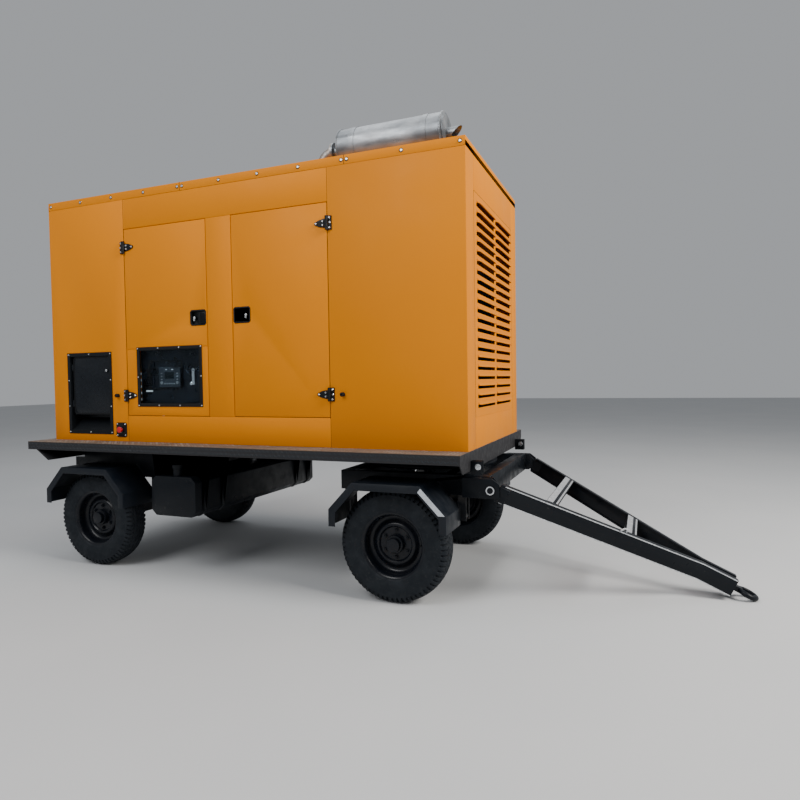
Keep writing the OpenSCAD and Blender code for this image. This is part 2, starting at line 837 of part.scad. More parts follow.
module window_pane() color("#8a9ba8", 0.4) place() translate([window_x, -half_w, window_z]) {
    c = frame_lip + 5;
    w = window_w / 2 - c;
    h = window_h / 2 - c;
    block([-w, rest_gap, -h], [w, rest_gap + pane_t, h]);
}

// ---------------------------------------------------------------- outlet pocket and emergency stop

pocket_in_w = pocket_w / 2 - pocket_flange;
pocket_in_h = pocket_h / 2 - pocket_flange;
pocket_door_z0 = -pocket_in_h + pocket_slot_h;
pocket_axis_x = -pocket_in_w + pocket_knuckle_r + 1;
pocket_hinge_zs = [pocket_door_z0 + 70, pocket_in_h - 110];
pocket_hinge_h = 40;

module outlet_pocket() color("#17181a") place() translate([pocket_x, -half_w, pocket_z]) {
    wall = 3;
    w = pocket_in_w;
    h = pocket_in_h;
    difference() {
        union() {
            block([-pocket_w / 2, -frame_t, -pocket_h / 2], [pocket_w / 2, 0, pocket_h / 2]);
            block([-w - wall, -1, -h - wall], [w + wall, pocket_d, h + wall]);
        }
        block([-w, -10, -h], [w, pocket_d - wall, h]);
    }
    // slanted floor under the cable slot
    ramp = [[pocket_d - wall + 0.5, -h], [pocket_d - wall + 0.5, pocket_door_z0 - 30], [8, -h - 0.5]];
    along_x(-w - 0.5, 2 * w + 1) polygon(ramp);
    // shelf between the slot and the outlets
    block([-w - 1, pocket_recess + 20, pocket_door_z0 - 4], [w + 1, pocket_d - wall + 1, pocket_door_z0]);
    // three round outlets on the back
    for (x = [-130, 0, 130]) translate([x, 0, 60]) rod_y(48, 50, pocket_d - 52);
    // ears and pins that carry the inner door
    for (z = pocket_hinge_zs) {
        for (s = [-8, pocket_hinge_h + 0.5]) translate([pocket_axis_x, pocket_recess, z + s]) cylinder(r = pocket_knuckle_r - 1, h = 7.5);
        for (s = [-8, pocket_hinge_h + 0.5]) block([-w - 1, pocket_recess - 3, z + s], [pocket_axis_x, pocket_recess + 3, z + s + 7.5]);
        translate([pocket_axis_x, pocket_recess, z - 4]) cylinder(r = pocket_pin_r, h = pocket_hinge_h + 8);
    }
}

module outlet_door() color("#1d1f21") place() translate([pocket_x, -half_w, pocket_z]) {
    x1 = pocket_in_w - 3;
    difference() {
        union() {
            x0 = pocket_axis_x + pocket_knuckle_r + 2;
            block([x0, pocket_recess, pocket_door_z0 + 2], [x1, pocket_recess + pocket_door_t, pocket_in_h - 3]);
            for (z = pocket_hinge_zs) {
                translate([pocket_axis_x, pocket_recess, z]) cylinder(r = pocket_knuckle_r, h = pocket_hinge_h);
                block([pocket_axis_x + 3, pocket_recess, z], [x0 + 1, pocket_recess + 5, z + pocket_hinge_h]);
            }
            // turn latch
            translate([x1 - 34, 0, pocket_in_h - 120]) rod_y(15, pocket_recess - 8, 10);
        }
        for (z = pocket_hinge_zs)
            translate([pocket_axis_x, pocket_recess, z - 1]) cylinder(r = pocket_pin_r + run_fit, h = pocket_hinge_h + 2);
    }
}

module estop_plate() color("#161616") place() translate([estop_x, -half_w, estop_z]) difference() {
    union() {
        along_y(-estop_t, estop_t) polygon(chamfered(estop_s, estop_s + 8, 12));
        rod_y(18, -estop_t - 6, 30);
    }
    rod_y(estop_stem_r + run_fit, -60, 120);
}

module estop_button() color("#c01b2a") place() translate([estop_x, -half_w, estop_z]) {
    face = -estop_t - 6 - estop_travel - 1;
    rod_y(estop_stem_r, face - 1, 34);
    rod_y(25, face - 14, 14);
    rod_y(21, face - 17, 4);
}

// ---------------------------------------------------------------- power unit

module engine_skid() color("#333333") place() both_sides() {
    block([skid_x0, -skid_y - skid_w / 2, 0], [skid_x1, skid_w / 2 - skid_y, skid_h]);
}

module engine_block() color("#4c5a4f") place() {
    half = block_w / 2;
    block([block_x0, -half, block_z0], [block_x1, half, block_z1]);
    block([block_x0 + 60, 60 - half, skid_h + 20], [block_x1 - 120, half - 60, block_z0 + 1]);
    both_sides() for (x = [block_x0 + 90, block_x1 - 190]) {
        block([x, -skid_y - 30, skid_h], [x + 100, -half + 1, skid_h + 16]);
        block([x, -half - 60, skid_h + 1], [x + 100, -half + 1, crank_z - 60]);
    }
    rod_at(block_x1 - 1, 0, crank_z) rod_x(crank_nose_r, 0, pulley_t + 42);
}

module cylinder_head() color("#55605a") place() {
    half = engine_head_w / 2;
    block([block_x0 + 30, -half, block_z1], [head_x1, half, block_z1 + engine_head_h - 90]);
    block([block_x0 + 60, 50 - half, block_z1 + 10], [head_x1 - 40, half - 50, block_z1 + engine_head_h]);
    // exhaust manifold and its upright outlet
    block([flue_x - 260, muffler_y - manifold_w / 2, manifold_z - 100], [flue_x + 260, 1 - half, manifold_z - 20]);
    rod_at(flue_x, muffler_y, manifold_z - 60) cylinder(r = manifold_w / 2 + 5, h = 60);
    rod_at(head_x1 - 1, 0, fan_z) rod_x(fan_spindle_r, 0, fan_x + 40 - head_x1);
}

module alternator() color("#6a7076") place() {
    x0 = block_x0 - alternator_l;
    difference() {
        union() {
            rod_at(x0, 0, crank_z) rod_x(alternator_r, 0, alternator_l - 90);
            rod_at(x0, 0, crank_z) rod_x(block_w / 2 + 10, 0, alternator_l);
            both_sides() for (x = [x0 + 90, x0 + alternator_l - 260])
                block([x, -skid_y - 30, skid_h], [x + 120, 70 - alternator_r, crank_z - 100]);
            block([x0 + 180, -190, crank_z + 150], [x0 + 560, 190, crank_z + alternator_r + 90]);
        }
        block([x0 - 1, -alternator_r + 71, 0], [x0 + alternator_l, alternator_r - 71, crank_z - alternator_r + 20]);
    }
}

module radiator() color("#2c2f31") place() {
    y = radiator_w / 2;
    difference() {
        union() {
            block([radiator_x, -y, 60], [radiator_x + radiator_t, y, 60 + radiator_h]);
            block([radiator_x - shroud_l, -y + 60, 160], [radiator_x + 1, y - 60, radiator_h - 40]);
            for (s = [-y + 20, y - 100]) block([radiator_x - 20, s, 0], [radiator_x + radiator_t + 20, s + 80, 70]);
        }
        block([radiator_x - shroud_l + 8, -y + 68, 168], [radiator_x - 1, y - 68, radiator_h - 48]);
        block([radiator_x + 60, -y + 80, 140], [radiator_x + radiator_t + 1, y - 80, radiator_h - 20]);
        rod_at(radiator_x - shroud_l - 1, 0, fan_z) rod_x(fan_r + 15, 0, shroud_l);
    }
}

module cooling_fan() color("#1f3f66") place() rod_at(fan_x, 0, fan_z) difference() {
    union() {
        rod_x(fan_hub_r, -30, 60);
        rod_x(34, pulley_x - fan_x + 1, fan_x - pulley_x);
        rod_x(fan_pulley_r, pulley_x - fan_x, pulley_t);
        for (i = [0:blade_n - 1]) rotate([i * 360 / blade_n, 0, 0]) fan_blade();
    }
    rod_x(fan_spindle_r + run_fit, pulley_x - fan_x - 1, fan_x - pulley_x + 32);
}

// one flat blade set at an angle to the fan's plane
module fan_blade() translate([0, 0, fan_hub_r - 12]) rotate([0, 0, 32]) block([-3, -50, 0], [3, 50, fan_r - fan_hub_r + 4]);

module crank_pulley() color("#232425") place() rod_at(pulley_x, 0, crank_z) difference() {
    rod_x(crank_pulley_r, 0, pulley_t);
    rod_x(crank_nose_r + run_fit, -1, pulley_t + 2);
}

module air_cleaner() color("#202122") place() {
    x0 = block_x0 + 250;
    rod_at(x0, cleaner_y, cleaner_z) {
        rod_x(cleaner_r, 0, cleaner_l);
        rod_x(cleaner_r + 6, 60, 24);
        rod_x(cleaner_r + 6, cleaner_l - 90, 24);
        rod_x(50, cleaner_l - 1, 90);
        for (x = [60, cleaner_l - 90]) block([x, -60, block_z1 + engine_head_h - cleaner_z], [x + 24, 60, -60]);
    }
}

module battery() color("#1d1e20") place() for (x = [block_x0 - 120, block_x0 + 420]) {
    block([x, 430, 0], [x + battery_l, 430 + battery_w, battery_h]);
    for (s = [90, battery_l - 90]) rod_at(x + s, 430 + battery_w / 2, battery_h - 1) cylinder(r = 9, h = 22);
}

// the cabinet stands on four legs behind the window
module control_cabinet() color("#22262b") place() {
    half = cabinet_l / 2;
    y1 = cabinet_y + cabinet_d;
    difference() {
        block([cabinet_x - half, cabinet_y, cabinet_z0], [cabinet_x + half, y1, cabinet_z1]);
        // the back is open, and the front has a shallow recess for the controller
        block([cabinet_x - half + 3, cabinet_y + 44, cabinet_z0 + 3], [cabinet_x + half - 3, y1 + 1, cabinet_z1 - 3]);
        block([controller_x - 171, cabinet_y - 1, controller_z - 105], [controller_x + 171, cabinet_y + 10, controller_z + 125]);
        rod_at(handle_x, 0, handle_z) rod_y(handle_pin_r + run_fit, cabinet_y - 1, 31);
    }
    for (x = [cabinet_x - half, cabinet_x + half - leg_s], y = [cabinet_y, y1 - leg_s])
        block([x, y, 0], [x + leg_s, y + leg_s, cabinet_z0 + 1]);
}

// the handle hangs down from the pin that it turns on
module cabinet_handle() color("#c9ccd0") place() rod_at(handle_x, 0, handle_z) {
    rod_y(handle_pin_r, cabinet_y - handle_off - 1, handle_off + 26);
    y0 = cabinet_y - handle_off - handle_t;
    rod_y(handle_w / 2, y0, handle_t);
    block([-handle_w / 2 + 2, y0, -handle_l + handle_w / 2], [handle_w / 2 - 2, y0 + handle_t, 0]);
    rod_at(0, 0, -handle_l + handle_w) rod_y(handle_w / 2, y0, handle_t);
}

module controller() color("#5b6067") place() {
    block([controller_x - controller_w / 2, cabinet_y + 10 - controller_t - 14, controller_z - controller_h / 2],
          [controller_x + controller_w / 2, cabinet_y + 10, controller_z + controller_h / 2]);
}

// ---------------------------------------------------------------- exhaust

// a bend in the X-Z plane about c, from angle a0 over a
module pipe_bend(c, a0, a) translate(c) rotate([90, 0, 0]) rotate([0, 0, a0])
    rotate_extrude(angle = a) translate([bend_r, 0]) circle(pipe_r + bend_play);

module exhaust_pipe() color("#8d8f90") place() translate([0, muffler_y, 0]) {
    over = 8;
    rod_at(flue_x, 0, manifold_z) {
        cylinder(r = flange_r, h = flange_t);
        cylinder(r = pipe_r, h = canopy_h + boot_h - manifold_z + over);
    }
    translate([flue_x, 0, canopy_h]) cylinder(r = boot_r, h = boot_h - 8);
    pipe_bend([flue_x + bend_r, 0, canopy_h + boot_h], 180 - (90 - bend_a), 90 - bend_a);
    slant_l = (slant_z - foot_z) / sin(bend_a);
    translate([slant_x, 0, slant_z]) rotate([0, -90 - bend_a, 0]) translate([0, 0, -over]) cylinder(r = pipe_r, h = slant_l + 2 * over);
    pipe_bend([inlet_x, 0, muffler_z - bend_r], 90, bend_a);
    rod_at(inlet_x - flange_t, 0, muffler_z) rod_x(flange_r, 0, flange_t);
}

module muffler() color("#8a8f90") place() rod_at(muffler_x, muffler_y, muffler_z) difference() {
    union() {
        rod_x(muffler_r, 0, muffler_l);
        rod_x(muffler_r - 22, -10, muffler_l + 20);
        rod_x(pipe_r, inlet_x - muffler_x, 90);
        rod_x(flange_r, inlet_x - muffler_x, flange_t);
        rod_x(pipe_r, muffler_l, tail_l);
        for (x = [110, muffler_l - 110 - saddle_w]) {
            rod_at(x, 0, 0) rod_x(muffler_r + 4, 0, saddle_w);
            block([x, -muffler_r * 0.72, -muffler_gap - muffler_r], [x + saddle_w, muffler_r * 0.72, -muffler_r * 0.6]);
        }
    }
    rod_x(pipe_r - 3, muffler_l - 60, tail_l + 61);
    rod_x(muffler_r - 4, 4, muffler_l - 8);
    // the tail pipe's end is cut off slanting
    translate([muffler_l + tail_l, 0, pipe_r]) rotate([0, 45, 0]) translate([0, -60, -100]) cube([100, 120, 200]);
}

// ---------------------------------------------------------------- bogie and wheels

// outline of a hinge lug whose front end is this far ahead of the pin
function lug_profile(nose) = [
    [bar_x - 190, beam_top - 4], [bar_x + 10, beam_top - 4], [bar_x + nose, hinge_z + 40],
    [bar_x + nose, hinge_z - nose + 8], [bar_x + nose - 28, beam_z], [bar_x - 190, beam_z]
];

module hinge_lugs() {
    y = beam_y + beam_w / 2;
    out = pin_y + boss_t / 2 + lug_gap;
    along_y(-out - lug_t, lug_t) polygon(lug_profile(lug_nose));
    // the inner lug is shorter, so the arm can rise past it
    along_y(-y - lug_t, lug_t) polygon(lug_profile(inner_nose));
    block([bar_x - 190, -out - 1, beam_z], [bar_x - 70, -y - lug_t + 1, beam_top - 4]);
    rod_at(bar_x, 0, hinge_z) {
        rod_y(bar_pin_r, -out - lug_t - 14, out - y + 2 * lug_t + 15);
        rod_y(bar_pin_r + 10, -out - lug_t - 8, 9);
    }
}

bogie_x0 = axle_x - leaf_half - 60;
bogie_x1 = bar_x - 20;

module bogie_frame() color("#2c2f33") place() {
    both_sides() {
        tube_x([bogie_x0, -beam_y - beam_w / 2, beam_z], [bogie_x1, beam_w / 2 - beam_y, beam_top]);
        hinge_lugs();
    }
    turntable_ring(beam_top + rest_gap);
    y = beam_y - beam_w / 2 - seam;
    for (x = [bogie_x0, axle_x - ring_r + 140, axle_x + ring_r - 220, bogie_x1 - 80])
        tube_y([x, -y, beam_z], [x + 80, y, beam_top]);
}

// local wheel frame: axis along Z with the outer side at +Z
module at_wheel(x, side) place() translate([x, side * track / 2, hub_z]) rotate([side > 0 ? -90 : 90, 0, 0]) children();

module tyre_shape() {
    h = tyre_w / 2;
    r = wheel_r;
    bead = rim_half - rim_t - rest_gap;
    half = [
        [seat_r + 0.5, bead], [rim_r + 2, bead], [rim_r + 14, h - 8],
        [rim_r + 72, h], [r - 38, h - 9], [r - 15, h - 20], [r, h - 32]
    ];
    inner = [
        [r - 22, h - 48], [r - 44, h - 24], [rim_r + 72, h - 17], [rim_r + 14, h - 25], [seat_r + 0.5, h - 36]
    ];
    low = [for (p = reversed(half)) [p[0], -p[1]]];
    low_inner = [for (p = reversed(inner)) [p[0], -p[1]]];
    rotate_extrude($fn = 96) polygon(concat(half, low, low_inner, inner));
}

module rim_shape() {
    h = rim_half;
    profile = [
        [seat_r - rim_t, -h], [rim_r, -h], [rim_r, rim_t - h], [seat_r, rim_t - h],
        [seat_r, h - rim_t], [rim_r, h - rim_t], [rim_r, h], [seat_r - rim_t, h],
        [seat_r - rim_t, 44], [150, 52], [112, 34], [hub_r, 34], [hub_r, hub_half], [cap_r, hub_half],
        [cap_r, cap_out], [0, cap_out], [0, spindle_end + 3], [spindle_r + run_fit, spindle_end + 3],
        [spindle_r + run_fit, -hub_half], [hub_r, -hub_half], [hub_r, 24], [116, 24], [152, 42],
        [seat_r - rim_t, 34]
    ];
    rotate_extrude($fn = 96) polygon(profile);
    for (i = [0:nut_n - 1]) rotate([0, 0, i * 360 / nut_n]) translate([nut_pcd_r, 0, 33]) cylinder(r = nut_r, h = 19, $fn = 6);
}

module right_front_tyre() color("#1c1c1d") at_wheel(axle_x, -1) tyre_shape();

module right_rear_tyre() color("#1c1c1d") at_wheel(-axle_x, -1) tyre_shape();

module left_front_tyre() color("#1c1c1d") at_wheel(axle_x, 1) tyre_shape();

module left_rear_tyre() color("#1c1c1d") at_wheel(-axle_x, 1) tyre_shape();

module right_front_rim() color("#303438") at_wheel(axle_x, -1) rim_shape();

module right_rear_rim() color("#303438") at_wheel(-axle_x, -1) rim_shape();

module left_front_rim() color("#303438") at_wheel(axle_x, 1) rim_shape();

module left_rear_rim() color("#303438") at_wheel(-axle_x, 1) rim_shape();

// ---------------------------------------------------------------- drawbar

// the drawbar is drawn level, from its hinge at the origin, and then dropped to the ground
module at_bar() place() translate([bar_x, 0, hinge_z]) rotate([0, bar_drop, 0]) children();

// the arms close in by this angle up to the kink, and run side by side after it
root_u = boss_r - 6;
arm_a = atan((pin_y + boss_t / 2 - nose_y) / (kink_u - root_u));

// distance from the middle plane to a line w inside an arm's outer edge
function arm_y(u, w) = nose_y + (kink_u - u) * tan(arm_a) - w / cos(arm_a);

// plan of the right arm, w wide
function arm_plan(w) = [
    [root_u, -arm_y(root_u, 0)], [kink_u, -nose_y], [nose_u, -nose_y], [nose_u, w - nose_y],
    [kink_u - w * tan(arm_a / 2), w - nose_y], [root_u, -arm_y(root_u, w)]
];

module bar_arm() {
    z0 = -arm_low;
    difference() {
        union() {
            translate([0, 0, z0]) linear_extrude(arm_h) polygon(arm_plan(arm_web));
            translate([0, 0, z0]) linear_extrude(arm_web) polygon(arm_plan(arm_t));
            translate([0, 0, z0 + arm_h - arm_web]) linear_extrude(arm_web) polygon(arm_plan(arm_t));
            rod_y(boss_r, -pin_y - boss_t / 2, boss_t);
            block([boss_r - 12, -pin_y - boss_t / 2, -boss_r + 4], [boss_r + 60, boss_t / 2 - pin_y, boss_r - 4]);
        }
        rod_y(bar_pin_r + run_fit, -pin_y - boss_t, 2 * boss_t);
    }
}

module drawbar() color("#2e3236") at_bar() {
    both_sides() bar_arm();
    for (u = cross_us) {
        a = arm_y(u, arm_t) - rest_gap;
        b = arm_y(u + cross_w, arm_t) - rest_gap;
        translate([0, 0, arm_h - arm_low - 40])
            linear_extrude(40) polygon([[u, -a], [u + cross_w, -b], [u + cross_w, b], [u, a]]);
    }
}

module tow_eye() color("#33363a") at_bar() {
    in = nose_y - arm_web - rest_gap;
    difference() {
        union() {
            block([kink_u + 60, -in, arm_web - arm_low + rest_gap], [nose_u, in, arm_h - arm_low - arm_web - rest_gap]);
            block([nose_u - 1, -28, -17], [bar_l - eye_mid_r + 6, 28, 17]);
            translate([bar_l, 0, 0]) rotate_extrude($fn = 64) translate([eye_mid_r, 0]) circle(eye_bar_r);
            translate([bar_l, 0, -eye_land / 2]) cylinder(r = eye_bore_r + 10, h = eye_land);
        }
        translate([bar_l, 0, -40]) cylinder(r = eye_bore_r, h = 80);
    }
}

deck();
chassis_frame();
rear_axle();
rear_springs();
rear_fenders();
fuel_tank();
roof();
side_panels();
door_surround();
front_wall();
front_louvre();
rear_wall();
hinge_leaves();
door_stops();
outlet_pocket();
outlet_door();
estop_plate();
estop_button();
right_rear_door();
right_rear_fittings();
right_rear_paddle();
window_frame();
window_pane();
right_front_door();
right_front_fittings();
right_front_paddle();
left_rear_door();
left_rear_fittings();
left_rear_paddle();
left_front_door();
left_front_fittings();
left_front_paddle();
engine_skid();
engine_block();
cylinder_head();
alternator();
radiator();
cooling_fan();
crank_pulley();
air_cleaner();
muffler();
exhaust_pipe();
battery();
control_cabinet();
cabinet_handle();
controller();
bogie_frame();
front_axle();
front_springs();
front_fenders();
drawbar();
tow_eye();
right_front_tyre();
right_rear_tyre();
left_front_tyre();
left_rear_tyre();
right_front_rim();
right_rear_rim();
left_front_rim();
left_rear_rim();
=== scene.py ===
"""Looks of the towable diesel generator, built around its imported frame. Lengths are metres.

Places are given about the middle of the canopy with z = 0 on the deck, as the machine's designer does,
and put() moves them into the frame. The right side of the trailer is -Y and the tow eye points to +X.
"""
import json
import math

import bmesh
import bpy
import numpy as np
from mathutils import Matrix, Vector

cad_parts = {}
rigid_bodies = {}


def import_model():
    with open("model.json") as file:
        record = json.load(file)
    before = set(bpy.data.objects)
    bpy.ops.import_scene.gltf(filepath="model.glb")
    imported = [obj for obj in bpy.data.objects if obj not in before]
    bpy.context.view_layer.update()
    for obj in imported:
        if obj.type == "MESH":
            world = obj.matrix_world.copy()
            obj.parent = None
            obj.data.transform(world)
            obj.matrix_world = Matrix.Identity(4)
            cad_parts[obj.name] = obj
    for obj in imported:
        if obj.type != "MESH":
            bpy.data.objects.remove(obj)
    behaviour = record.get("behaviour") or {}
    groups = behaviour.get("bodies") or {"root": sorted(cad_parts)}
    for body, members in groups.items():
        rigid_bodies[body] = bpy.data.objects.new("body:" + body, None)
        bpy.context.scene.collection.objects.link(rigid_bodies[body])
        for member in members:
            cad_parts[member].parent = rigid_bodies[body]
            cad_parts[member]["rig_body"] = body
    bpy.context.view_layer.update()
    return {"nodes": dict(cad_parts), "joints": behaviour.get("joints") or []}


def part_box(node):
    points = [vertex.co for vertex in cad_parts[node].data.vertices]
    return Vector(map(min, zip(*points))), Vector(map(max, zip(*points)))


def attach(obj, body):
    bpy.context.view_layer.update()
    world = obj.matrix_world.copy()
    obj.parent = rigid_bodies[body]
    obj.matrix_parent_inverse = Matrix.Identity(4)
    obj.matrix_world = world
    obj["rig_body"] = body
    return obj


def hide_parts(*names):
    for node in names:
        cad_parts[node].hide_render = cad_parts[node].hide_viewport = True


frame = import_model()

# ---------------------------------------------------------------- places from the frame

roof_low, roof_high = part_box("roof")
MID_X = (roof_low.x + roof_high.x) / 2
DECK_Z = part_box("deck")[1].z
HALF_L = (roof_high.x - roof_low.x) / 2
HALF_W = roof_high.y
ORIGIN = np.array([MID_X, 0.0, DECK_Z])
JOINTS = {j["name"]: j for j in frame["joints"]}


def put(points):
    """Points about the canopy's middle, moved into the frame."""
    return np.asarray(points, float) + ORIGIN


def local_box(node):
    """A node's two corners about the canopy's middle."""
    low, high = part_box(node)
    return np.array(low) - ORIGIN, np.array(high) - ORIGIN


def joint_place(name):
    """A joint's point about the canopy's middle."""
    return np.array(JOINTS[name]["pos_m"]) - ORIGIN


# ---------------------------------------------------------------- mesh tools

def grid_faces(rows, cols, wrap_rows=False, wrap_cols=False):
    """Quads between neighbours of a rows x cols net; a wrapped side joins its last line to its first."""
    r = np.arange(rows if wrap_rows else rows - 1)
    c = np.arange(cols if wrap_cols else cols - 1)
    r, c = [a.ravel() for a in np.meshgrid(r, c, indexing="ij")]
    r2, c2 = (r + 1) % rows, (c + 1) % cols
    return np.stack([r * cols + c, r2 * cols + c, r2 * cols + c2, r * cols + c2], 1)


def net(points, wrap_rows=False, wrap_cols=False):
    """A surface from a rows x cols x 3 array of points."""
    rows, cols = points.shape[:2]
    return points.reshape(-1, 3), [grid_faces(rows, cols, wrap_rows, wrap_cols)]


def revolve(profile, turns=48):
    """A closed outline of (radius, height) points carried round the Z axis."""
    outline = np.asarray(profile, float)
    angle = np.linspace(0, 2 * np.pi, turns, endpoint=False)
    r, h = outline[:, 0], outline[:, 1]
    points = np.stack([np.outer(np.cos(angle), r), np.outer(np.sin(angle), r), np.tile(h, (turns, 1))], 2)
    return net(points, True, True)


def dome(radius, height, sides=10, flat=0.35):
    """A round head on z = 0: rings whose radius shrinks as the quarter circle rises, closed at the top."""
    lift = np.linspace(0, np.pi / 2, 4)[:-1]
    rings = radius * (flat + (1 - flat) * np.cos(lift))
    heights = height * np.sin(lift)
    rings = np.concatenate([[radius], rings])
    heights = np.concatenate([[0.0], heights + 0.15 * height])
    angle = np.linspace(0, 2 * np.pi, sides, endpoint=False)
    points = np.stack([np.outer(rings, np.cos(angle)), np.outer(rings, np.sin(angle)),
                       np.repeat(heights[:, None], sides, 1)], 2)
    verts, faces = net(points, False, True)
    top = np.array([[0, 0, heights[-1]]])
    base = (len(rings) - 1) * sides
    ring = np.arange(sides)
    cap = np.stack([base + ring, base + (ring + 1) % sides, np.full(sides, len(verts))], 1)
    return np.concatenate([verts, top]), faces + [cap]


def prism(outline, height, start=0.0):
    """A closed outline in X and Y, raised from start by height."""
    flat = np.asarray(outline, float)
    n = len(flat)
    low = np.column_stack([flat, np.full(n, start)])
    high = np.column_stack([flat, np.full(n, start + height)])
    ring = np.arange(n)
    sides = np.stack([ring, (ring + 1) % n, (ring + 1) % n + n, ring + n], 1)
    return np.concatenate([low, high]), [sides, ring[::-1][None], (ring + n)[None]]


def ngon(radius, sides):
    """Corners of a regular outline."""
    angle = np.linspace(0, 2 * np.pi, sides, endpoint=False)
    return np.stack([radius * np.cos(angle), radius * np.sin(angle)], 1)


def round_rect(w, h, r):
    """An outline w by h whose corners are quarter circles of radius r."""
    quarter = np.linspace(0, np.pi / 2, 4)
    corners = [(w / 2 - r, h / 2 - r), (r - w / 2, h / 2 - r), (r - w / 2, r - h / 2), (w / 2 - r, r - h / 2)]
    return np.concatenate([
        np.stack([x + r * np.cos(quarter + i * np.pi / 2), y + r * np.sin(quarter + i * np.pi / 2)], 1)
        for i, (x, y) in enumerate(corners)])


def slab(a, b):
    """A box between two corners."""
    (x0, y0, z0), (x1, y1, z1) = np.minimum(a, b), np.maximum(a, b)
    return prism([[x0, y0], [x1, y0], [x1, y1], [x0, y1]], z1 - z0, z0)


def block(corners):
    """A six-sided solid; its eight corners are counted like the bits of 0 to 7."""
    faces = [(0, 1, 3, 2), (4, 5, 7, 6), (0, 1, 5, 4), (2, 3, 7, 6), (0, 2, 6, 4), (1, 3, 7, 5)]
    return np.array(corners), [np.array(faces)]


def tube(path, radius, sides=12, closed=False):
    """A round section carried along a path; its frame is turned as little as possible from point to point."""
    path = np.asarray(path, float)
    n = len(path)
    step = np.roll(path, -1, 0) - np.roll(path, 1, 0) if closed else np.gradient(path, axis=0)
    along = step / np.linalg.norm(step, axis=1)[:, None]
    side = np.zeros_like(path)
    seed = np.array([0, 0, 1.0]) if abs(along[0, 2]) < 0.9 else np.array([1.0, 0, 0])
    for i in range(n):
        seed = seed - along[i] * (seed @ along[i])
        seed /= np.linalg.norm(seed)
        side[i] = seed
    up = np.cross(along, side)
    angle = np.linspace(0, 2 * np.pi, sides, endpoint=False)
    reach = np.broadcast_to(radius, n)[:, None, None]
    ring = side[:, None] * np.cos(angle)[:, None] + up[:, None] * np.sin(angle)[:, None]
    verts, faces = net(path[:, None] + reach * ring, closed, True)
    if not closed:
        faces = faces + [np.arange(sides)[None, ::-1], (np.arange(sides) + (n - 1) * sides)[None]]
    return verts, faces


def smooth_path(points, per_span=8):
    """A Catmull-Rom curve through a few points."""
    p = np.asarray(points, float)
    p = np.concatenate([[2 * p[0] - p[1]], p, [2 * p[-1] - p[-2]]])
    t = np.linspace(0, 1, per_span, endpoint=False)[:, None]
    spans = [0.5 * (2 * b + (c - a) * t + (2 * a - 5 * b + 4 * c - d) * t ** 2
                    + (3 * b - a - 3 * c + d) * t ** 3)
             for a, b, c, d in zip(p[:-3], p[1:-2], p[2:-1], p[3:])]
    return np.concatenate(spans + [p[-2:-1]])


def moved(shape, matrix):
    """A shape turned and moved by a 4 x 4 matrix."""
    verts, faces = shape
    m = np.array(matrix)
    return verts @ m[:3, :3].T + m[:3, 3], faces


def shifted(shape, offset):
    """A shape moved by an offset."""
    return shape[0] + np.asarray(offset, float), shape[1]


def facing(direction):
    """A turn that brings +Z onto a direction."""
    return Vector(direction).to_track_quat("Z", "Y").to_matrix().to_4x4()


def stamp(shape, places, direction=(0, 0, 1)):
    """One shape at one or many places, its +Z along the direction, as one mesh."""
    verts, faces = moved(shape, facing(direction))
    places = np.asarray(places, float).reshape(-1, 3)
    n = len(verts)
    lift = np.arange(len(places)) * n
    return ((places[:, None] + verts).reshape(-1, 3),
            [(f[None] + lift[:, None, None]).reshape(-1, f.shape[1]) for f in faces])


def join(*shapes):
    """Several shapes as one."""
    verts, faces, count = [], [], 0
    for v, f in shapes:
        verts.append(v)
        faces += [face + count for face in f]
        count += len(v)
    return np.concatenate(verts), faces


def add_object(name, data):
    """A new object in the scene."""
    obj = bpy.data.objects.new(name, data)
    bpy.context.scene.collection.objects.link(obj)
    return obj


def finish_mesh(bm, obj, sharp=35):
    """Smooth shading, with the edges sharper than an angle kept sharp."""
    for face in bm.faces:
        face.smooth = True
    for edge in bm.edges:
        edge.smooth = len(edge.link_faces) == 2 and edge.calc_face_angle(0) < math.radians(sharp)
    bm.to_mesh(obj.data)
    bm.free()


def round_edges(bm, width):
    """Rounds the long edges where faces meet at more than 40 degrees."""
    long_edges = [e for e in bm.edges if len(e.link_faces) == 2 and e.calc_length() > 5 * width
                  and e.calc_face_angle(0) > math.radians(40)]
    bmesh.ops.bevel(bm, geom=long_edges, offset=width, offset_type="OFFSET", segments=2, profile=0.5,
                    affect="EDGES", clamp_overlap=False)


def piece(name, shape, material, body="trailer", replaces=(), sharp=35, bevel=0.0):
    """A finished object from a shape. Its faces are turned outwards and its edges may be rounded."""
    verts, faces = shape
    mesh = bpy.data.meshes.new(name)
    mesh.from_pydata(put(verts).tolist(), [], [f.tolist() for group in faces for f in group])
    obj = add_object(name, mesh)
    bm = bmesh.new()
    bm.from_mesh(mesh)
    bmesh.ops.recalc_face_normals(bm, faces=bm.faces)
    if bevel:
        round_edges(bm, bevel)
    finish_mesh(bm, obj, sharp)
    mesh.materials.append(material)
    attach(obj, body)
    if replaces:
        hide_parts(*replaces)
    return obj


def soften(node, width, material):
    """A copy of a CAD node with merged triangles and rounded edges, in place of the node."""
    source = frame["nodes"][node]
    obj = add_object(node + "_finish", source.data.copy())
    bm = bmesh.new()
    bm.from_mesh(obj.data)
    bmesh.ops.remove_doubles(bm, verts=bm.verts, dist=2e-5)
    bmesh.ops.dissolve_limit(bm, angle_limit=math.radians(1), verts=bm.verts, edges=bm.edges)
    round_edges(bm, width)
    finish_mesh(bm, obj)
    obj.data.materials.clear()
    obj.data.materials.append(material)
    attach(obj, source["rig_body"])
    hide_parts(node)


def dress(material, *nodes):
    """Gives CAD nodes their material."""
    for node in nodes:
        mesh = frame["nodes"][node].data
        mesh.materials.clear()
        mesh.materials.append(material)


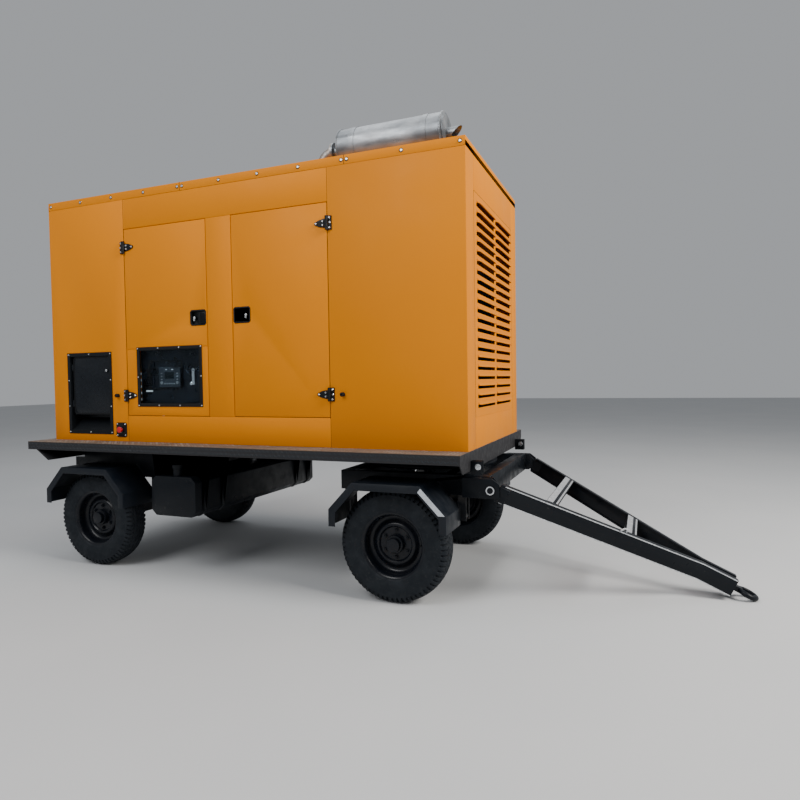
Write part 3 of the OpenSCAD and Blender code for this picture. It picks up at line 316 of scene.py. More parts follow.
# ---------------------------------------------------------------- materials

class Finish:
    """A node material on object coordinates, with helpers that tint, roughen and raise it."""

    def __init__(self, name, colour, roughness, metallic=0.0, coat=0.0, coat_roughness=0.1, specular=0.22):
        self.material = bpy.data.materials.new(name)
        self.material.use_nodes = True
        self.tree = self.material.node_tree
        self.shader = self.tree.nodes["Principled BSDF"]
        self.set("Base Color", (*colour, 1))
        self.set("Roughness", roughness)
        self.set("Metallic", metallic)
        self.set("Specular IOR Level", 0.5 if metallic else specular)
        self.set("Coat Weight", coat)
        self.set("Coat Roughness", coat_roughness)
        self.place = self.node("ShaderNodeTexCoord").outputs["Object"]
        self.colour = None
        self.height = None
        self.base = colour

    def set(self, name, value):
        """Sets an input of the shader."""
        self.shader.inputs[name].default_value = value

    def node(self, kind, **settings):
        """A new node with its settings."""
        new = self.tree.nodes.new(kind)
        for key, value in settings.items():
            setattr(new, key, value)
        return new

    def link(self, a, b):
        """Joins an output to an input."""
        self.tree.links.new(a, b)

    def texture(self, kind, scale, **settings):
        """A texture node on object coordinates."""
        new = self.node(kind, **settings)
        new.inputs["Scale"].default_value = scale
        self.link(self.place, new.inputs["Vector"])
        return new

    def noise(self, scale, detail, stretch=(1, 1, 1)):
        """Fractal noise, a value round 0.5; stretch makes it run along an axis."""
        mapping = self.texture("ShaderNodeMapping", stretch)
        noise = self.node("ShaderNodeTexNoise")
        noise.inputs["Scale"].default_value = scale
        noise.inputs["Detail"].default_value = detail
        self.link(mapping.outputs["Vector"], noise.inputs["Vector"])
        return noise.outputs["Fac"]

    def span(self, value, low, high, to_low=0.0, to_high=1.0):
        """Maps a value from one range onto another and holds it there."""
        ramp = self.node("ShaderNodeMapRange")
        for key, number in zip(("From Min", "From Max", "To Min", "To Max"), (low, high, to_low, to_high)):
            ramp.inputs[key].default_value = number
        self.link(value, ramp.inputs["Value"])
        return ramp.outputs["Result"]

    def above(self, low, high, to_low=0.0, to_high=1.0):
        """A value that follows the height of a point."""
        split = self.node("ShaderNodeSeparateXYZ")
        self.link(self.place, split.inputs[0])
        return self.span(split.outputs["Z"], low, high, to_low, to_high)

    def tint(self, amount, colour):
        """Lays a colour over what is there, as much as a value says."""
        mix = self.node("ShaderNodeMix", data_type="RGBA")
        if self.colour is None:
            mix.inputs["A"].default_value = (*self.base, 1)
        else:
            self.link(self.colour, mix.inputs["A"])
        mix.inputs["B"].default_value = (*colour, 1)
        self.link(amount, mix.inputs["Factor"])
        self.colour = mix.outputs["Result"]
        self.link(self.colour, self.shader.inputs["Base Color"])
        return self

    def patch(self, scale, detail, low, high, amount, colour, stretch=(1, 1, 1)):
        """A tint that grows from none to its amount as a noise goes from low to high."""
        return self.tint(self.span(self.noise(scale, detail, stretch), low, high, 0, amount), colour)

    def rough(self, scale, detail, low, high, stretch=(1, 1, 1)):
        """A roughness that follows a noise from low to high."""
        value = self.span(self.noise(scale, detail, stretch), 0.3, 0.7, low, high)
        self.link(value, self.shader.inputs["Roughness"])
        return self

    def raise_by(self, value, distance, strength=1.0):
        """A bump of a value, distance metres high."""
        bump = self.node("ShaderNodeBump")
        bump.inputs["Distance"].default_value = distance
        bump.inputs["Strength"].default_value = strength
        self.link(value, bump.inputs["Height"])
        if self.height is not None:
            self.link(self.height, bump.inputs["Normal"])
        self.height = bump.outputs["Normal"]
        self.link(self.height, self.shader.inputs["Normal"])
        return self

    def grain(self, scale, detail, distance, strength=1.0, stretch=(1, 1, 1)):
        """A bump of a noise, distance metres high."""
        return self.raise_by(self.noise(scale, detail, stretch), distance, strength)


def canopy_paint():
    """Orange powder coat: soft shifts of tone, painted shade that darkens it towards the deck, fine orange-peel.
    """
    f = Finish("canopy_paint", (0.66, 0.205, 0.0), 0.48, specular=0.08)
    f.patch(1.3, 3, 0.35, 0.7, 0.35, (0.70, 0.23, 0.0))
    # Painted shade: the paint turns a darker brown-orange over the lowest 0.35 m, towards the deck.
    f.tint(f.above(DECK_Z, DECK_Z + 0.35, 0.16, 0.0), (0.34, 0.12, 0.01))
    return f.rough(4, 5, 0.40, 0.56).grain(420, 2, 0.00005, 0.35).material


def chassis_black(name="chassis_black", colour=(0.0035, 0.0050, 0.0075), roughness=0.36):
    """Brushed-on black paint: blue-black, with dust in patches and a runny surface."""
    f = Finish(name, colour, roughness, coat=0.05, coat_roughness=0.25, specular=0.16)
    f.patch(3.5, 6, 0.52, 0.78, 0.3, (0.013, 0.015, 0.018))
    f.patch(38, 8, 0.66, 0.74, 0.3, (0.06, 0.055, 0.05))
    return f.rough(12, 5, roughness - 0.1, roughness + 0.2).grain(60, 4, 0.0004, 0.5).material


def deck_chequer():
    """The deck: black paint under brown dust, worn to grey on the raised marks."""
    f = Finish("deck_chequer", (0.02, 0.02, 0.022), 0.5)
    dust = f.node("ShaderNodeMath", operation="MULTIPLY")
    f.link(f.above(DECK_Z - 0.004, DECK_Z - 0.001), dust.inputs[0])
    f.link(f.span(f.noise(5, 6, (0.35, 1, 1)), 0.3, 0.6, 0.35, 0.95), dust.inputs[1])
    f.tint(dust.outputs[0], (0.15, 0.105, 0.075))
    return f.rough(22, 6, 0.4, 0.75).grain(90, 4, 0.0004, 0.6).material


def moulded_black(name="moulded_black", colour=(0.004, 0.0045, 0.0055), roughness=0.3):
    """Smooth moulded plastic with a slight grain."""
    f = Finish(name, colour, roughness, coat=0.1)
    f.patch(35, 4, 0.45, 0.75, 0.3, tuple(2.2 * c for c in colour))
    return f.rough(50, 3, roughness - 0.06, roughness + 0.14).grain(900, 2, 0.00006, 0.5).material


def enamel(name, colour, roughness):
    """Machine enamel over a cast surface, oily in patches."""
    f = Finish(name, colour, roughness, coat=0.2)
    f.patch(6, 7, 0.5, 0.75, 0.6, tuple(0.45 * c for c in colour))
    return f.rough(14, 5, roughness - 0.15, roughness + 0.15).grain(120, 4, 0.0006, 0.6).material


def window_glass():
    """Toughened glass with a faint grey-blue cast and a little dust."""
    f = Finish("window_glass", (0.75, 0.82, 0.86), 0.03)
    f.set("Transmission Weight", 1.0)
    f.set("IOR", 1.1)
    return f.rough(8, 6, 0.01, 0.06).material


def fin_core():
    """Radiator core: fine dark fins, as waves across Y."""
    f = Finish("fin_core", (0.03, 0.03, 0.032), 0.5, metallic=0.5)
    wave = f.texture("ShaderNodeTexWave", 40, bands_direction="Y").outputs["Fac"]
    return f.tint(f.span(wave, 0.3, 0.8, 0, 0.8), (0.10, 0.10, 0.105)).raise_by(wave, 0.002).material


def lamp_white():
    """Pale glowing lens of the little lights on the controller; the terminal bar in the cabinet takes it too and
    glows faintly, painted light, though it is no lamp.
    """
    f = Finish("lamp_white", (0.62, 0.66, 0.68), 0.3)
    # A faint glow: lamp light on the controller's lamps, painted light on the terminal bar.
    f.set("Emission Color", (0.8, 0.9, 1.0, 1))
    f.set("Emission Strength", 0.25)
    return f.patch(200, 3, 0.4, 0.7, 0.5, (0.8, 0.82, 0.84)).material


def reflector_tape():
    """Silver reflective tape: fine diagonal cells."""
    f = Finish("reflector_tape", (0.50, 0.54, 0.58), 0.25, metallic=0.5, coat=0.5)
    cells = f.texture("ShaderNodeTexVoronoi", 160).outputs["Distance"]
    f.tint(f.span(cells, 0.1, 0.6, 0, 0.6), (0.72, 0.76, 0.80))
    return f.patch(12, 5, 0.5, 0.7, 0.4, (0.36, 0.38, 0.40)).raise_by(cells, 0.0004).material


ORANGE = canopy_paint()
BLACK = chassis_black()
PLASTIC = moulded_black()
GLOW_LENS = lamp_white()

# Dark grey fender paint with road dust in patches.
FENDER = (Finish("fender_grey", (0.0045, 0.0070, 0.0115), 0.42, coat=0.05, coat_roughness=0.3)
          .patch(4, 7, 0.45, 0.75, 0.4, (0.018, 0.020, 0.023))
          .rough(16, 5, 0.35, 0.6).grain(70, 3, 0.0004, 0.4).material)

# Raised marks of the deck plate, rubbed to grey-brown steel.
MARKS = (Finish("chequer_marks", (0.16, 0.125, 0.10), 0.5, metallic=0.3)
         .patch(7, 6, 0.4, 0.65, 1.0, (0.30, 0.26, 0.23)).rough(40, 4, 0.35, 0.6).material)

# Spring leaves: black paint rubbed to dark steel in streaks along X.
LEAF = (Finish("leaf_steel", (0.0045, 0.0055, 0.0075), 0.45, coat=0.1)
        .patch(30, 6, 0.55, 0.75, 0.6, (0.07, 0.065, 0.06), (0.2, 1, 1))
        .rough(50, 4, 0.35, 0.6, (0.2, 1, 1)).grain(80, 4, 0.0004, 1.0, (0.3, 1, 1)).material)

# Blue-black tyre rubber under pale dust.
TYRE = (Finish("tyre_rubber", (0.0055, 0.0080, 0.0115), 0.62)
        .patch(14, 7, 0.45, 0.7, 0.5, (0.016, 0.020, 0.025)).patch(60, 8, 0.6, 0.72, 0.25, (0.05, 0.05, 0.05))
        .rough(25, 4, 0.5, 0.8).grain(260, 3, 0.0003, 0.6).material)

# Glossy black wheel paint with a little dust.
RIM = (Finish("rim_paint", (0.0035, 0.0048, 0.0080), 0.30, coat=0.1, coat_roughness=0.15)
       .patch(18, 6, 0.55, 0.75, 0.3, (0.022, 0.022, 0.022))
       .rough(20, 5, 0.22, 0.45).grain(90, 3, 0.0003, 0.4).material)

# Fine textured black powder coat of hinges, latches and the pocket.
POWDER = (Finish("powder_black", (0.0035, 0.0048, 0.0065), 0.42)
          .patch(60, 5, 0.5, 0.7, 0.3, (0.012, 0.014, 0.017))
          .rough(80, 3, 0.34, 0.52).grain(700, 2, 0.00012, 0.6).material)

# Matt black rubber.
RUBBER = (Finish("soft_rubber", (0.006, 0.0055, 0.0055), 0.72)
          .patch(50, 5, 0.5, 0.7, 0.4, (0.018, 0.016, 0.015)).grain(500, 3, 0.00015).material)

# Zinc-plated bolts and rivets, slightly mottled.
ZINC = (Finish("bright_zinc", (0.72, 0.74, 0.76), 0.25, metallic=1.0)
        .patch(220, 4, 0.45, 0.7, 0.5, (0.48, 0.50, 0.52)).rough(150, 3, 0.18, 0.38).material)

# Bare or galvanised steel: pale, spangled and scratched.
STEEL = (Finish("bare_steel", (0.52, 0.54, 0.56), 0.42, metallic=0.75)
         .patch(55, 7, 0.4, 0.65, 0.8, (0.78, 0.80, 0.82)).patch(140, 6, 0.6, 0.7, 0.6, (0.16, 0.16, 0.17))
         .rough(60, 4, 0.32, 0.6).grain(200, 4, 0.0003).material)

# Dull aluminised steel of the silencer: broad tonal bands and fine scratches along X.
ALUMINISED = (Finish("aluminised", (0.17, 0.185, 0.20), 0.42, metallic=0.75)
              .patch(6, 6, 0.4, 0.65, 0.6, (0.58, 0.60, 0.62), (0.5, 1, 1))
              .patch(26, 8, 0.60, 0.72, 0.5, (0.24, 0.24, 0.25))
              .rough(18, 6, 0.26, 0.5, (0.3, 1, 1)).grain(30, 4, 0.0008, 0.4)
              .grain(260, 3, 0.0002, 0.5, (0.1, 1, 1)).material)

# Exhaust pipe steel, browned by heat.
HEAT = (Finish("heat_steel", (0.33, 0.32, 0.31), 0.42, metallic=0.85)
        .patch(14, 6, 0.42, 0.68, 0.8, (0.24, 0.17, 0.12)).rough(30, 5, 0.35, 0.6).grain(160, 4, 0.0003).material)

# Satin chrome of the cabinet's handle and the lock faces.
CHROME = (Finish("satin_chrome", (0.86, 0.87, 0.88), 0.16, metallic=1.0)
          .patch(90, 4, 0.5, 0.75, 0.4, (0.62, 0.63, 0.65)).rough(70, 4, 0.12, 0.26).material)

# Red push button.
RED = (Finish("glossy_red", (0.55, 0.012, 0.02), 0.22, coat=0.4)
       .patch(60, 4, 0.5, 0.75, 0.25, (0.70, 0.05, 0.05)).rough(60, 3, 0.16, 0.3).material)

# Turned and cast iron.
IRON = (Finish("cast_iron", (0.07, 0.07, 0.075), 0.45, metallic=0.7)
        .patch(40, 6, 0.45, 0.7, 0.6, (0.15, 0.13, 0.12)).grain(200, 4, 0.0004).material)

# Open-cell sound-proofing foam.
FOAM = (Finish("foam_black", (0.020, 0.020, 0.022), 0.95)
        .patch(120, 5, 0.5, 0.7, 0.6, (0.05, 0.05, 0.052)).grain(900, 3, 0.0008).material)

# Pale matt floor.
FLOOR = (Finish("studio_floor", (0.48, 0.49, 0.50), 0.95)
         .patch(0.6, 3, 0.4, 0.6, 0.2, (0.56, 0.56, 0.56)).material)


# ---------------------------------------------------------------- camera, light and floor

def camera():
    """The camera stands beside the right front corner at eye height, turned towards the canopy."""
    heading, pitch, roll = math.radians(21.79), math.radians(1.92), math.radians(-0.84)
    place, lens_mm, film_mm = (2.875, -4.584, 0.470), 27.67, 36
    level = math.cos(pitch)
    ahead = Vector((-math.sin(heading) * level, math.cos(heading) * level, -math.sin(pitch)))
    side = ahead.cross(Vector((0, 0, 1))).normalized()
    up = side.cross(ahead)
    turned_side = math.cos(roll) * side + math.sin(roll) * up
    turned_up = -math.sin(roll) * side + math.cos(roll) * up
    turn = Matrix((turned_side, turned_up, -ahead)).transposed().to_4x4()
    data = bpy.data.cameras.new("camera")
    data.lens = lens_mm
    data.sensor_width = film_mm
    obj = add_object("camera", data)
    obj.matrix_world = Matrix.Translation(Vector(put(place))) @ turn
    bpy.context.scene.camera = obj


def area_light(name, place, target, size, watts, colour=(1, 1, 1)):
    """A square soft light aimed at a point."""
    data = bpy.data.lights.new(name, "AREA")
    data.size = size
    data.energy = watts
    data.color = colour
    aim = Vector(target) - Vector(place)
    turn = aim.to_track_quat("-Z", "Y").to_matrix().to_4x4()
    add_object(name, data).matrix_world = Matrix.Translation(Vector(place)) @ turn


def studio():
    """A white surround, a pale floor and three soft lights: ahead of the tow eye, beside and overhead."""
    world = bpy.data.worlds.new("studio")
    bpy.context.scene.world = world
    world.use_nodes = True
    shade = world.node_tree.nodes["Background"]
    shade.inputs["Color"].default_value = (0.93, 0.96, 1.0, 1)
    shade.inputs["Strength"].default_value = 0.40
    area_light("front_key", (8.5, -1.5, 6.5), (0.5, 0, 1.6), 4.0, 1250, (1, 0.96, 0.90))
    area_light("side_fill", (-3.0, -8.0, 8.5), (-0.8, 0, 1.6), 6.0, 700)
    area_light("overhead", (-0.5, 1.0, 9.0), (-0.5, 0, 2.0), 7.0, 260, (0.96, 0.98, 1))
    reach = 40.0
    corners = [(-reach, -reach, 0), (reach, -reach, 0), (reach, reach, 0), (-reach, reach, 0)]
    floor = bpy.data.meshes.new("floor")
    floor.from_pydata(corners, [], [(0, 1, 2, 3)])
    floor.materials.append(FLOOR)
    add_object("floor", floor)


camera()
studio()

# ---------------------------------------------------------------- shared fasteners

RIVET = dome(0.0065, 0.004, 8)
BOLT = dome(0.0085, 0.0065, 8)
HEX = join(prism(ngon(0.015, 6), 0.010), dome(0.008, 0.008, 8), prism(ngon(0.020, 14), 0.002, -0.001))
SIDES = {"right": -1, "left": 1}
RIGHT = (0, -1, 0)
DOORS = ("right_rear", "right_front", "left_rear", "left_front")
WHEELS = ("right_front", "right_rear", "left_front", "left_rear")
HINGE_ZS = (0.372, 1.555)
LATCH_Z = 0.962
LATCH_FROM_HINGE = 0.720


def fasten(name, shape, places, direction, body="trailer"):
    """Bright fasteners of one shape at many places."""
    piece(name, stamp(shape, places, direction), ZINC, body)


def side_of(name):
    """-1 for a piece of the right side, 1 for one of the left."""
    return SIDES[name.split("_")[0]]


def hinge_line(door):
    """The place of a door's hinge line and the direction in which the door lies from it."""
    x = joint_place(door + "_door_swing")[0]
    return x, 1 if "rear" in door else -1


# ---------------------------------------------------------------- canopy

LOUVRE_PITCH, SLOT_H, SLOT_IN, SLOT_OUT = 0.0644, 0.034, 0.025, 0.530
FRONT_ROWS, FRONT_FIRST = 22, 0.2756
REAR_ROWS, REAR_FIRST = 8, 0.110
HOOD_H = 0.025
SHEET = 0.003


def louvre_hoods(face, out, rows, first):
    """Pressed hoods over the slots. Down the hood it leaves the sheet nearly straight, as a power of 0.85;
    along the slot it closes at both ends as the square root of one minus the 24th power."""
    along = np.sin(np.linspace(-np.pi / 2, np.pi / 2, 21))
    down = np.linspace(0, 1, 6)
    closing = np.sqrt(np.clip(1 - np.abs(along) ** 24, 0, 1))
    u, v = np.meshgrid(along, down, indexing="ij")
    rise = out * 0.022 * closing[:, None] * v ** 0.85
    shapes = []
    for side in (-1, 1):
        middle, half = side * (SLOT_IN + SLOT_OUT) / 2, (SLOT_OUT - SLOT_IN) / 2
        for row in range(rows):
            z = first + row * LOUVRE_PITCH + SLOT_H + 0.007 - v * HOOD_H
            shapes.append(net(np.stack([face + rise, middle + half * u, z], 2)))
    return join(*shapes)


def slotted_sheet(face, z0, z1, rows, first, half_width):
    """A flat sheet as a net of rectangles, left open where the slots are."""
    ys = np.array([-half_width, -SLOT_OUT, -SLOT_IN, SLOT_IN, SLOT_OUT, half_width])
    edges = [first + i * LOUVRE_PITCH + d for i in range(rows) for d in (-0.006, SLOT_H - 0.002)]
    zs = np.array([z0] + edges + [z1])
    y, z = np.meshgrid(ys, zs, indexing="ij")
    verts, faces = net(np.stack([np.full_like(y, face), y, z], 2))
    col, row = np.meshgrid(np.arange(len(ys) - 1), np.arange(len(zs) - 1), indexing="ij")
    open_here = (np.isin(col, (1, 3)) & (row % 2 == 1)).ravel()
    return verts, [faces[0][~open_here]]


def thin_sheet(name, shape, outward, thickness, material, body="trailer", replaces=()):
    """A sheet surface: its faces look outwards and it is thickened inwards."""
    obj = piece(name, shape, material, body, replaces)
    bm = bmesh.new()
    bm.from_mesh(obj.data)
    bmesh.ops.reverse_faces(bm, faces=[f for f in bm.faces if f.normal.dot(Vector(outward)) < 0])
    bm.to_mesh(obj.data)
    bm.free()
    wall = obj.modifiers.new("wall", "SOLIDIFY")
    wall.thickness = thickness
    wall.offset = -1


def end_walls():
    """The louvred panel at the front, and the rear wall with its lower louvres and grab handle."""
    for name, node, way, rows, first in (("front_louvre_panel", "front_louvre", 1, FRONT_ROWS, FRONT_FIRST),
                                         ("rear_wall_panel", "rear_wall", -1, REAR_ROWS, REAR_FIRST)):
        low, high = local_box(node)
        half = min(high[1], -low[1])
        wall = join(slotted_sheet(way * HALF_L, low[2], high[2], rows, first, half),
                    louvre_hoods(way * (HALF_L + 0.0002), way, rows, first))
        thin_sheet(name, wall, (way, 0, 0), SHEET, ORANGE, replaces=[node])
    y, out, foot = 0.070 - half, -HALF_L - 0.036, 0.064
    bends = [(-HALF_L, -foot), (out + 0.006, -0.062), (out, -0.050), (out, 0.0),
             (out, 0.050), (out + 0.006, 0.062), (-HALF_L, foot)]
    grip = tube(smooth_path([(x, y, LATCH_Z + rise) for x, rise in bends]), 0.006, 10)
    feet = stamp(dome(0.014, 0.004, 14), [(-HALF_L, y, LATCH_Z - foot), (-HALF_L, y, LATCH_Z + foot)], (-1, 0, 0))
    piece("grab_handle", join(grip, feet), CHROME)


def canopy_skin():
    """The bolted panels, each edge folded with a small radius so that the joints read as grooves."""
    for node in ("roof", "side_panels", "door_surround", "front_wall"):
        soften(node, 0.0028, ORANGE)
    for door in DOORS:
        soften(door + "_door", 0.003, ORANGE)


def roof_screws():
    """Screws along the roof's edges in three runs, one for each roof sheet, with strips that cover the joints."""
    runs = [(-1.797, 0.336, 5), (-0.407, 0.340, 5), (0.994, 0.3985, 3)]
    xs = [start + i * step for start, step, count in runs for i in range(count)]
    for name, side in SIDES.items():
        places, out = [(x, side * HALF_W, 1.968) for x in xs], (0, side, 0)
        fasten("roof_screws_" + name, dome(0.0095, 0.005, 10), places, out)
        piece("roof_washers_" + name, stamp(prism(ngon(0.014, 14), 0.0012), places, out), RUBBER)
    joints = [slab((x - 0.0016, -HALF_W - 0.0006, 1.938), (x + 0.0016, HALF_W + 0.0006, 2.0006))
              for x in (-0.430, 0.973)]
    piece("roof_joint_seals", join(*joints), RUBBER)


def panel_seams():
    """Dark sealant in the upright joints beside the door bays and round the front louvre panel."""
    strips = [slab((x - 0.0012, side * (HALF_W - 0.0022), 0.002), (x + 0.0012, side * (HALF_W - 0.0008), 1.934))
              for x in (hinge_line("right_rear")[0] - 0.002, hinge_line("right_front")[0] + 0.002)
              for side in (-1, 1)]
    low, high = local_box("front_louvre")
    x, y, z0, z1, wide = HALF_L + 0.0004, high[1], low[2], high[2], 0.0012
    strips += [slab((x - 0.001, side * y - wide, z0), (x, side * y + wide, z1)) for side in (-1, 1)]
    strips.append(slab((x - 0.001, -y, z1 - wide), (x, y, z1 + wide)))
    piece("seam_sealant", join(*strips), RUBBER)


def foam_pad(name, x0, x1, z0, z1, side, body):
    """Sound-proofing foam: a net of blunt pyramids, each rising as the product of two sine waves."""
    pitch, backing, tall, margin = 0.045, 0.010, 0.013, 0.02
    nx, nz = int((x1 - x0) / pitch * 4) + 1, int((z1 - z0) / pitch * 4) + 1
    x, z = np.meshgrid(np.linspace(x0, x1, nx), np.linspace(z0, z1, nz), indexing="ij")
    wave = np.abs(np.sin(np.pi * (x - x0) / pitch) * np.sin(np.pi * (z - z0) / pitch))
    edge = np.minimum.reduce([x - x0, x1 - x, z - z0, z1 - z])
    rise = backing + tall * wave * np.clip(edge / margin, 0, 1)
    shape = net(np.stack([x, side * (HALF_W - 0.006 - rise), z], 2))
    thin_sheet(name, shape, (0, -side, 0), 0.007, FOAM, body)


def linings():
    """Foam inside the doors and the big side panels; the door with the window has it above the latch only."""
    edge = 0.02
    for door in DOORS:
        low, high = local_box(door + "_door")
        pads = {"_foam_top": (LATCH_Z + 0.075, high[2] - edge), "_foam_low": (low[2] + edge, LATCH_Z - 0.075)}
        if door == "right_rear":
            pads = {"_foam": pads["_foam_top"]}
        for end, (z0, z1) in pads.items():
            foam_pad(door + end, low[0] + edge, high[0] - edge, z0, z1, side_of(door), door + "_door")
    bay_end = hinge_line("right_front")[0] + 0.06
    for name, side in SIDES.items():
        foam_pad("panel_foam_" + name, bay_end, HALF_L - 0.33, 0.05, 1.88, side, "trailer")


# ---------------------------------------------------------------- door hardware

def door_hardware():
    """Strap hinges and latch cups keep their shape; bolts, locks, keys and ribbed paddles are added."""
    dress(POWDER, "hinge_leaves")
    strap_holes = ((0.030, 0.013), (0.030, -0.013), (0.083, 0))
    leaf_holes = ((-0.022, 0.034), (-0.027, 0), (-0.022, -0.034))
    for door in DOORS:
        side = side_of(door)
        x, way = hinge_line(door)
        soften(door + "_fittings", 0.0012, POWDER)
        for end, holes, body in (("_strap_bolts", strap_holes, door + "_door"),
                                 ("_leaf_bolts", leaf_holes, "trailer")):
            places = [(x + way * d, side * (HALF_W + 0.006), z + dz) for z in HINGE_ZS for d, dz in holes]
            fasten(door + end, BOLT, places, (0, side, 0), body)
        lock_and_key(door, x + way * (LATCH_FROM_HINGE - 0.0355), side)
        ribbed_paddle(door, side)


def lock_and_key(door, x, side):
    """A turned lock face with its slot, and a key hanging from it."""
    face = side * (HALF_W + 0.0005)
    rim = revolve([(0.0095, 0), (0.0095, 0.002), (0.008, 0.003), (0.006, 0.003), (0.0055, 0.0015),
                   (0.001, 0.0015), (0.001, 0)], 28)
    bow = revolve([(0.0035, -0.001), (0.0075, -0.001), (0.0075, 0.001), (0.0035, 0.001)], 20)
    key = join(moved(bow, facing((0, 1, 0))), slab((-0.002, -0.001, 0.006), (0.002, 0.001, 0.018)))
    hung = shifted(key, (x, face + side * 0.0045, LATCH_Z - 0.018))
    for end, shape in (("_lock", stamp(rim, (x, face, LATCH_Z), (0, side, 0))), ("_key", hung)):
        piece(door + end, shape, STEEL, door + "_door")


def ribbed_paddle(door, side):
    """A paddle with a rounded knuckle, a slightly bowed plate and upright grip ribs."""
    low, high = local_box(door + "_paddle")
    way = hinge_line(door)[1]
    px, py = joint_place(door + "_paddle_pull")[:2]
    z0, z1 = low[2], high[2]
    knuckle = shifted(revolve([(0.0040, z0), (0.0058, z0), (0.0058, z1), (0.0040, z1)], 28), (px, py, 0))
    tip = high[0] if way > 0 else low[0]
    front = side * (abs(py) + 0.006)
    back = front - side * 0.005
    plate = slab((px + way * 0.0065, front, z0), (tip, back, z1))
    web = slab((px + way * 0.003, front - side * 0.0025, z0), (px + way * 0.008, back, z1))
    ribs = [slab((x - 0.0018, front - side * 0.001, z0 + 0.006), (x + 0.0018, front + side * 0.0018, z1 - 0.006))
            for x in np.linspace(px + way * 0.022, tip - way * 0.008, 6)]
    piece(door + "_paddle_ribbed", join(knuckle, web, plate, *ribs), PLASTIC, door + "_paddle",
          [door + "_paddle"], bevel=0.0008)


def stop_buffers():
    """Rubber buffers, rounded at the free end, with a hollow in the middle."""
    low, high = local_box("door_stops")
    radius, length = 0.015, 0.030
    shape = revolve([(0.0001, 0), (radius, 0), (radius, length - 0.006), (radius - 0.002, length - 0.002),
                     (radius - 0.006, length), (0.005, length), (0.004, length - 0.006),
                     (0.0001, length - 0.006)], 24)
    buffers = [stamp(shape, (x, side * HALF_W, HINGE_ZS[0]), (0, side, 0))
               for side in (-1, 1) for x in (low[0] + radius, high[0] - radius)]
    piece("door_buffers", join(*buffers), RUBBER, replaces=["door_stops"])


# ---------------------------------------------------------------- window, cabinet and controller

def window():
    """The window's rubber rim with ten rivets, and its pane."""
    soften("window_frame", 0.0015, RUBBER)
    dress(window_glass(), "window_pane")
    low, high = local_box("window_frame")
    inset = 0.011
    xs = np.linspace(low[0] + inset, high[0] - inset, 4)
    zs = (low[2] + inset, high[2] - inset)
    places = [(x, low[1], z) for z in zs for x in xs] + [(x, low[1], sum(zs) / 2) for x in (xs[0], xs[-1])]
    fasten("window_rivets", RIVET, places, RIGHT, "right_rear_door")


def cabinet():
    """The control cabinet behind the window: its plate, wires, terminal bar, handle and lock."""
    dress(enamel("cabinet_navy", (0.006, 0.010, 0.017), 0.35), "control_cabinet")
    soften("cabinet_handle", 0.0015, CHROME)
    face = local_box("control_cabinet")[0][1]
    x0, x1, z0, z1 = -0.829, -0.497, 0.425, 0.644
    shroud = [slab((x - 0.005, face - 0.001, z0), (x + 0.005, face - 0.004, z1)) for x in (x0, x1)]
    shroud += [slab((x0, face - 0.001, z - 0.005), (x1, face - 0.004, z + 0.005)) for z in (z0, z1)]
    piece("controller_surround", join(*shroud), PLASTIC, bevel=0.001)
    handle = joint_place("cabinet_handle_turn")
    pin = stamp(dome(0.006, 0.003, 12), (handle[0], face - 0.0170, handle[2]), RIGHT)
    piece("handle_pin_head", pin, PLASTIC, "cabinet_handle")
    lock = revolve([(0.013, 0), (0.013, 0.004), (0.010, 0.006), (0.007, 0.006), (0.006, 0.003),
                    (0.001, 0.003), (0.001, 0)], 24)
    piece("cabinet_lock", stamp(lock, (handle[0] - 0.034, face, 0.462), RIGHT), CHROME)
    wires, top = [], 0.617
    for i, drop in enumerate((0.19, 0.21, 0.18, 0.20)):
        x = -0.822 + 0.007 * i
        sway = 0.006 * (-1) ** i
        path = [(x, face - 0.010, top), (x + sway, face - 0.020, 0.57), (x - sway, face - 0.016, 0.51),
                (x + 0.004, face - 0.012, top - drop + 0.03), (x + 0.004, face - 0.006, top - drop)]
        wires.append(tube(smooth_path(path), 0.0025, 8))
    piece("cabinet_wires", join(*wires), PLASTIC)
    screws = [slab((x - 0.004, face - 0.015, 0.402), (x + 0.004, face - 0.012, 0.410))
              for x in -0.844 + 0.012 * np.arange(5)]
    bar = join(slab((-0.850, face - 0.012, 0.400), (-0.790, face - 0.001, 0.412)), *screws)
    # Painted light: the terminal bar takes the lamps' glowing lens material, so it glows faintly though it is no
    # lamp.
    piece("terminal_bar", bar, GLOW_LENS, bevel=0.001)


def controller():
    """The controller: a bevelled grey case with a dark screen, two lamps, round keys and a row of small keys."""
    low, high = local_box("controller")
    middle, front = (low + high) / 2, low[1]

    def on_front(shape, x=0.0, z=0.0, lift=0.0):
        return stamp(shape, (middle[0] + x, front - lift, middle[2] + z), RIGHT)

    deep = 0.026
    case = on_front(prism(round_rect(high[0] - low[0], high[2] - low[2], 0.010), deep), lift=-deep)
    grey = moulded_black("controller_grey", (0.035, 0.045, 0.058), 0.38)
    piece("controller_case", case, grey, replaces=["controller"], bevel=0.003)
    screen = on_front(prism(round_rect(0.094, 0.052, 0.003), 0.002), 0.0, 0.014)
    glass = moulded_black("screen_glass", (0.010, 0.016, 0.020), 0.12)
    piece("controller_screen", screen, glass, bevel=0.0006)
    lamps = [on_front(prism(round_rect(0.018, 0.005, 0.002), 0.003), x, 0.060) for x in (-0.030, 0.030)]
    piece("controller_lamps", join(*lamps), GLOW_LENS)
    round_key = dome(0.0125, 0.004, 20, 0.6)
    small_key = prism(round_rect(0.013, 0.009, 0.003), 0.003)
    keys = [on_front(round_key, x, -0.044) for x in (-0.078, 0.078)]
    keys += [on_front(small_key, x, -0.052) for x in np.linspace(-0.046, 0.046, 5)]
    keys += [on_front(small_key, x, z) for x in (-0.078, 0.078) for z in (0.030, 0.006, -0.018)]
    pale = moulded_black("key_grey", (0.20, 0.23, 0.25), 0.4)
    piece("controller_keys", join(*keys), pale, bevel=0.0008)


# ---------------------------------------------------------------- outlet pocket and emergency stop

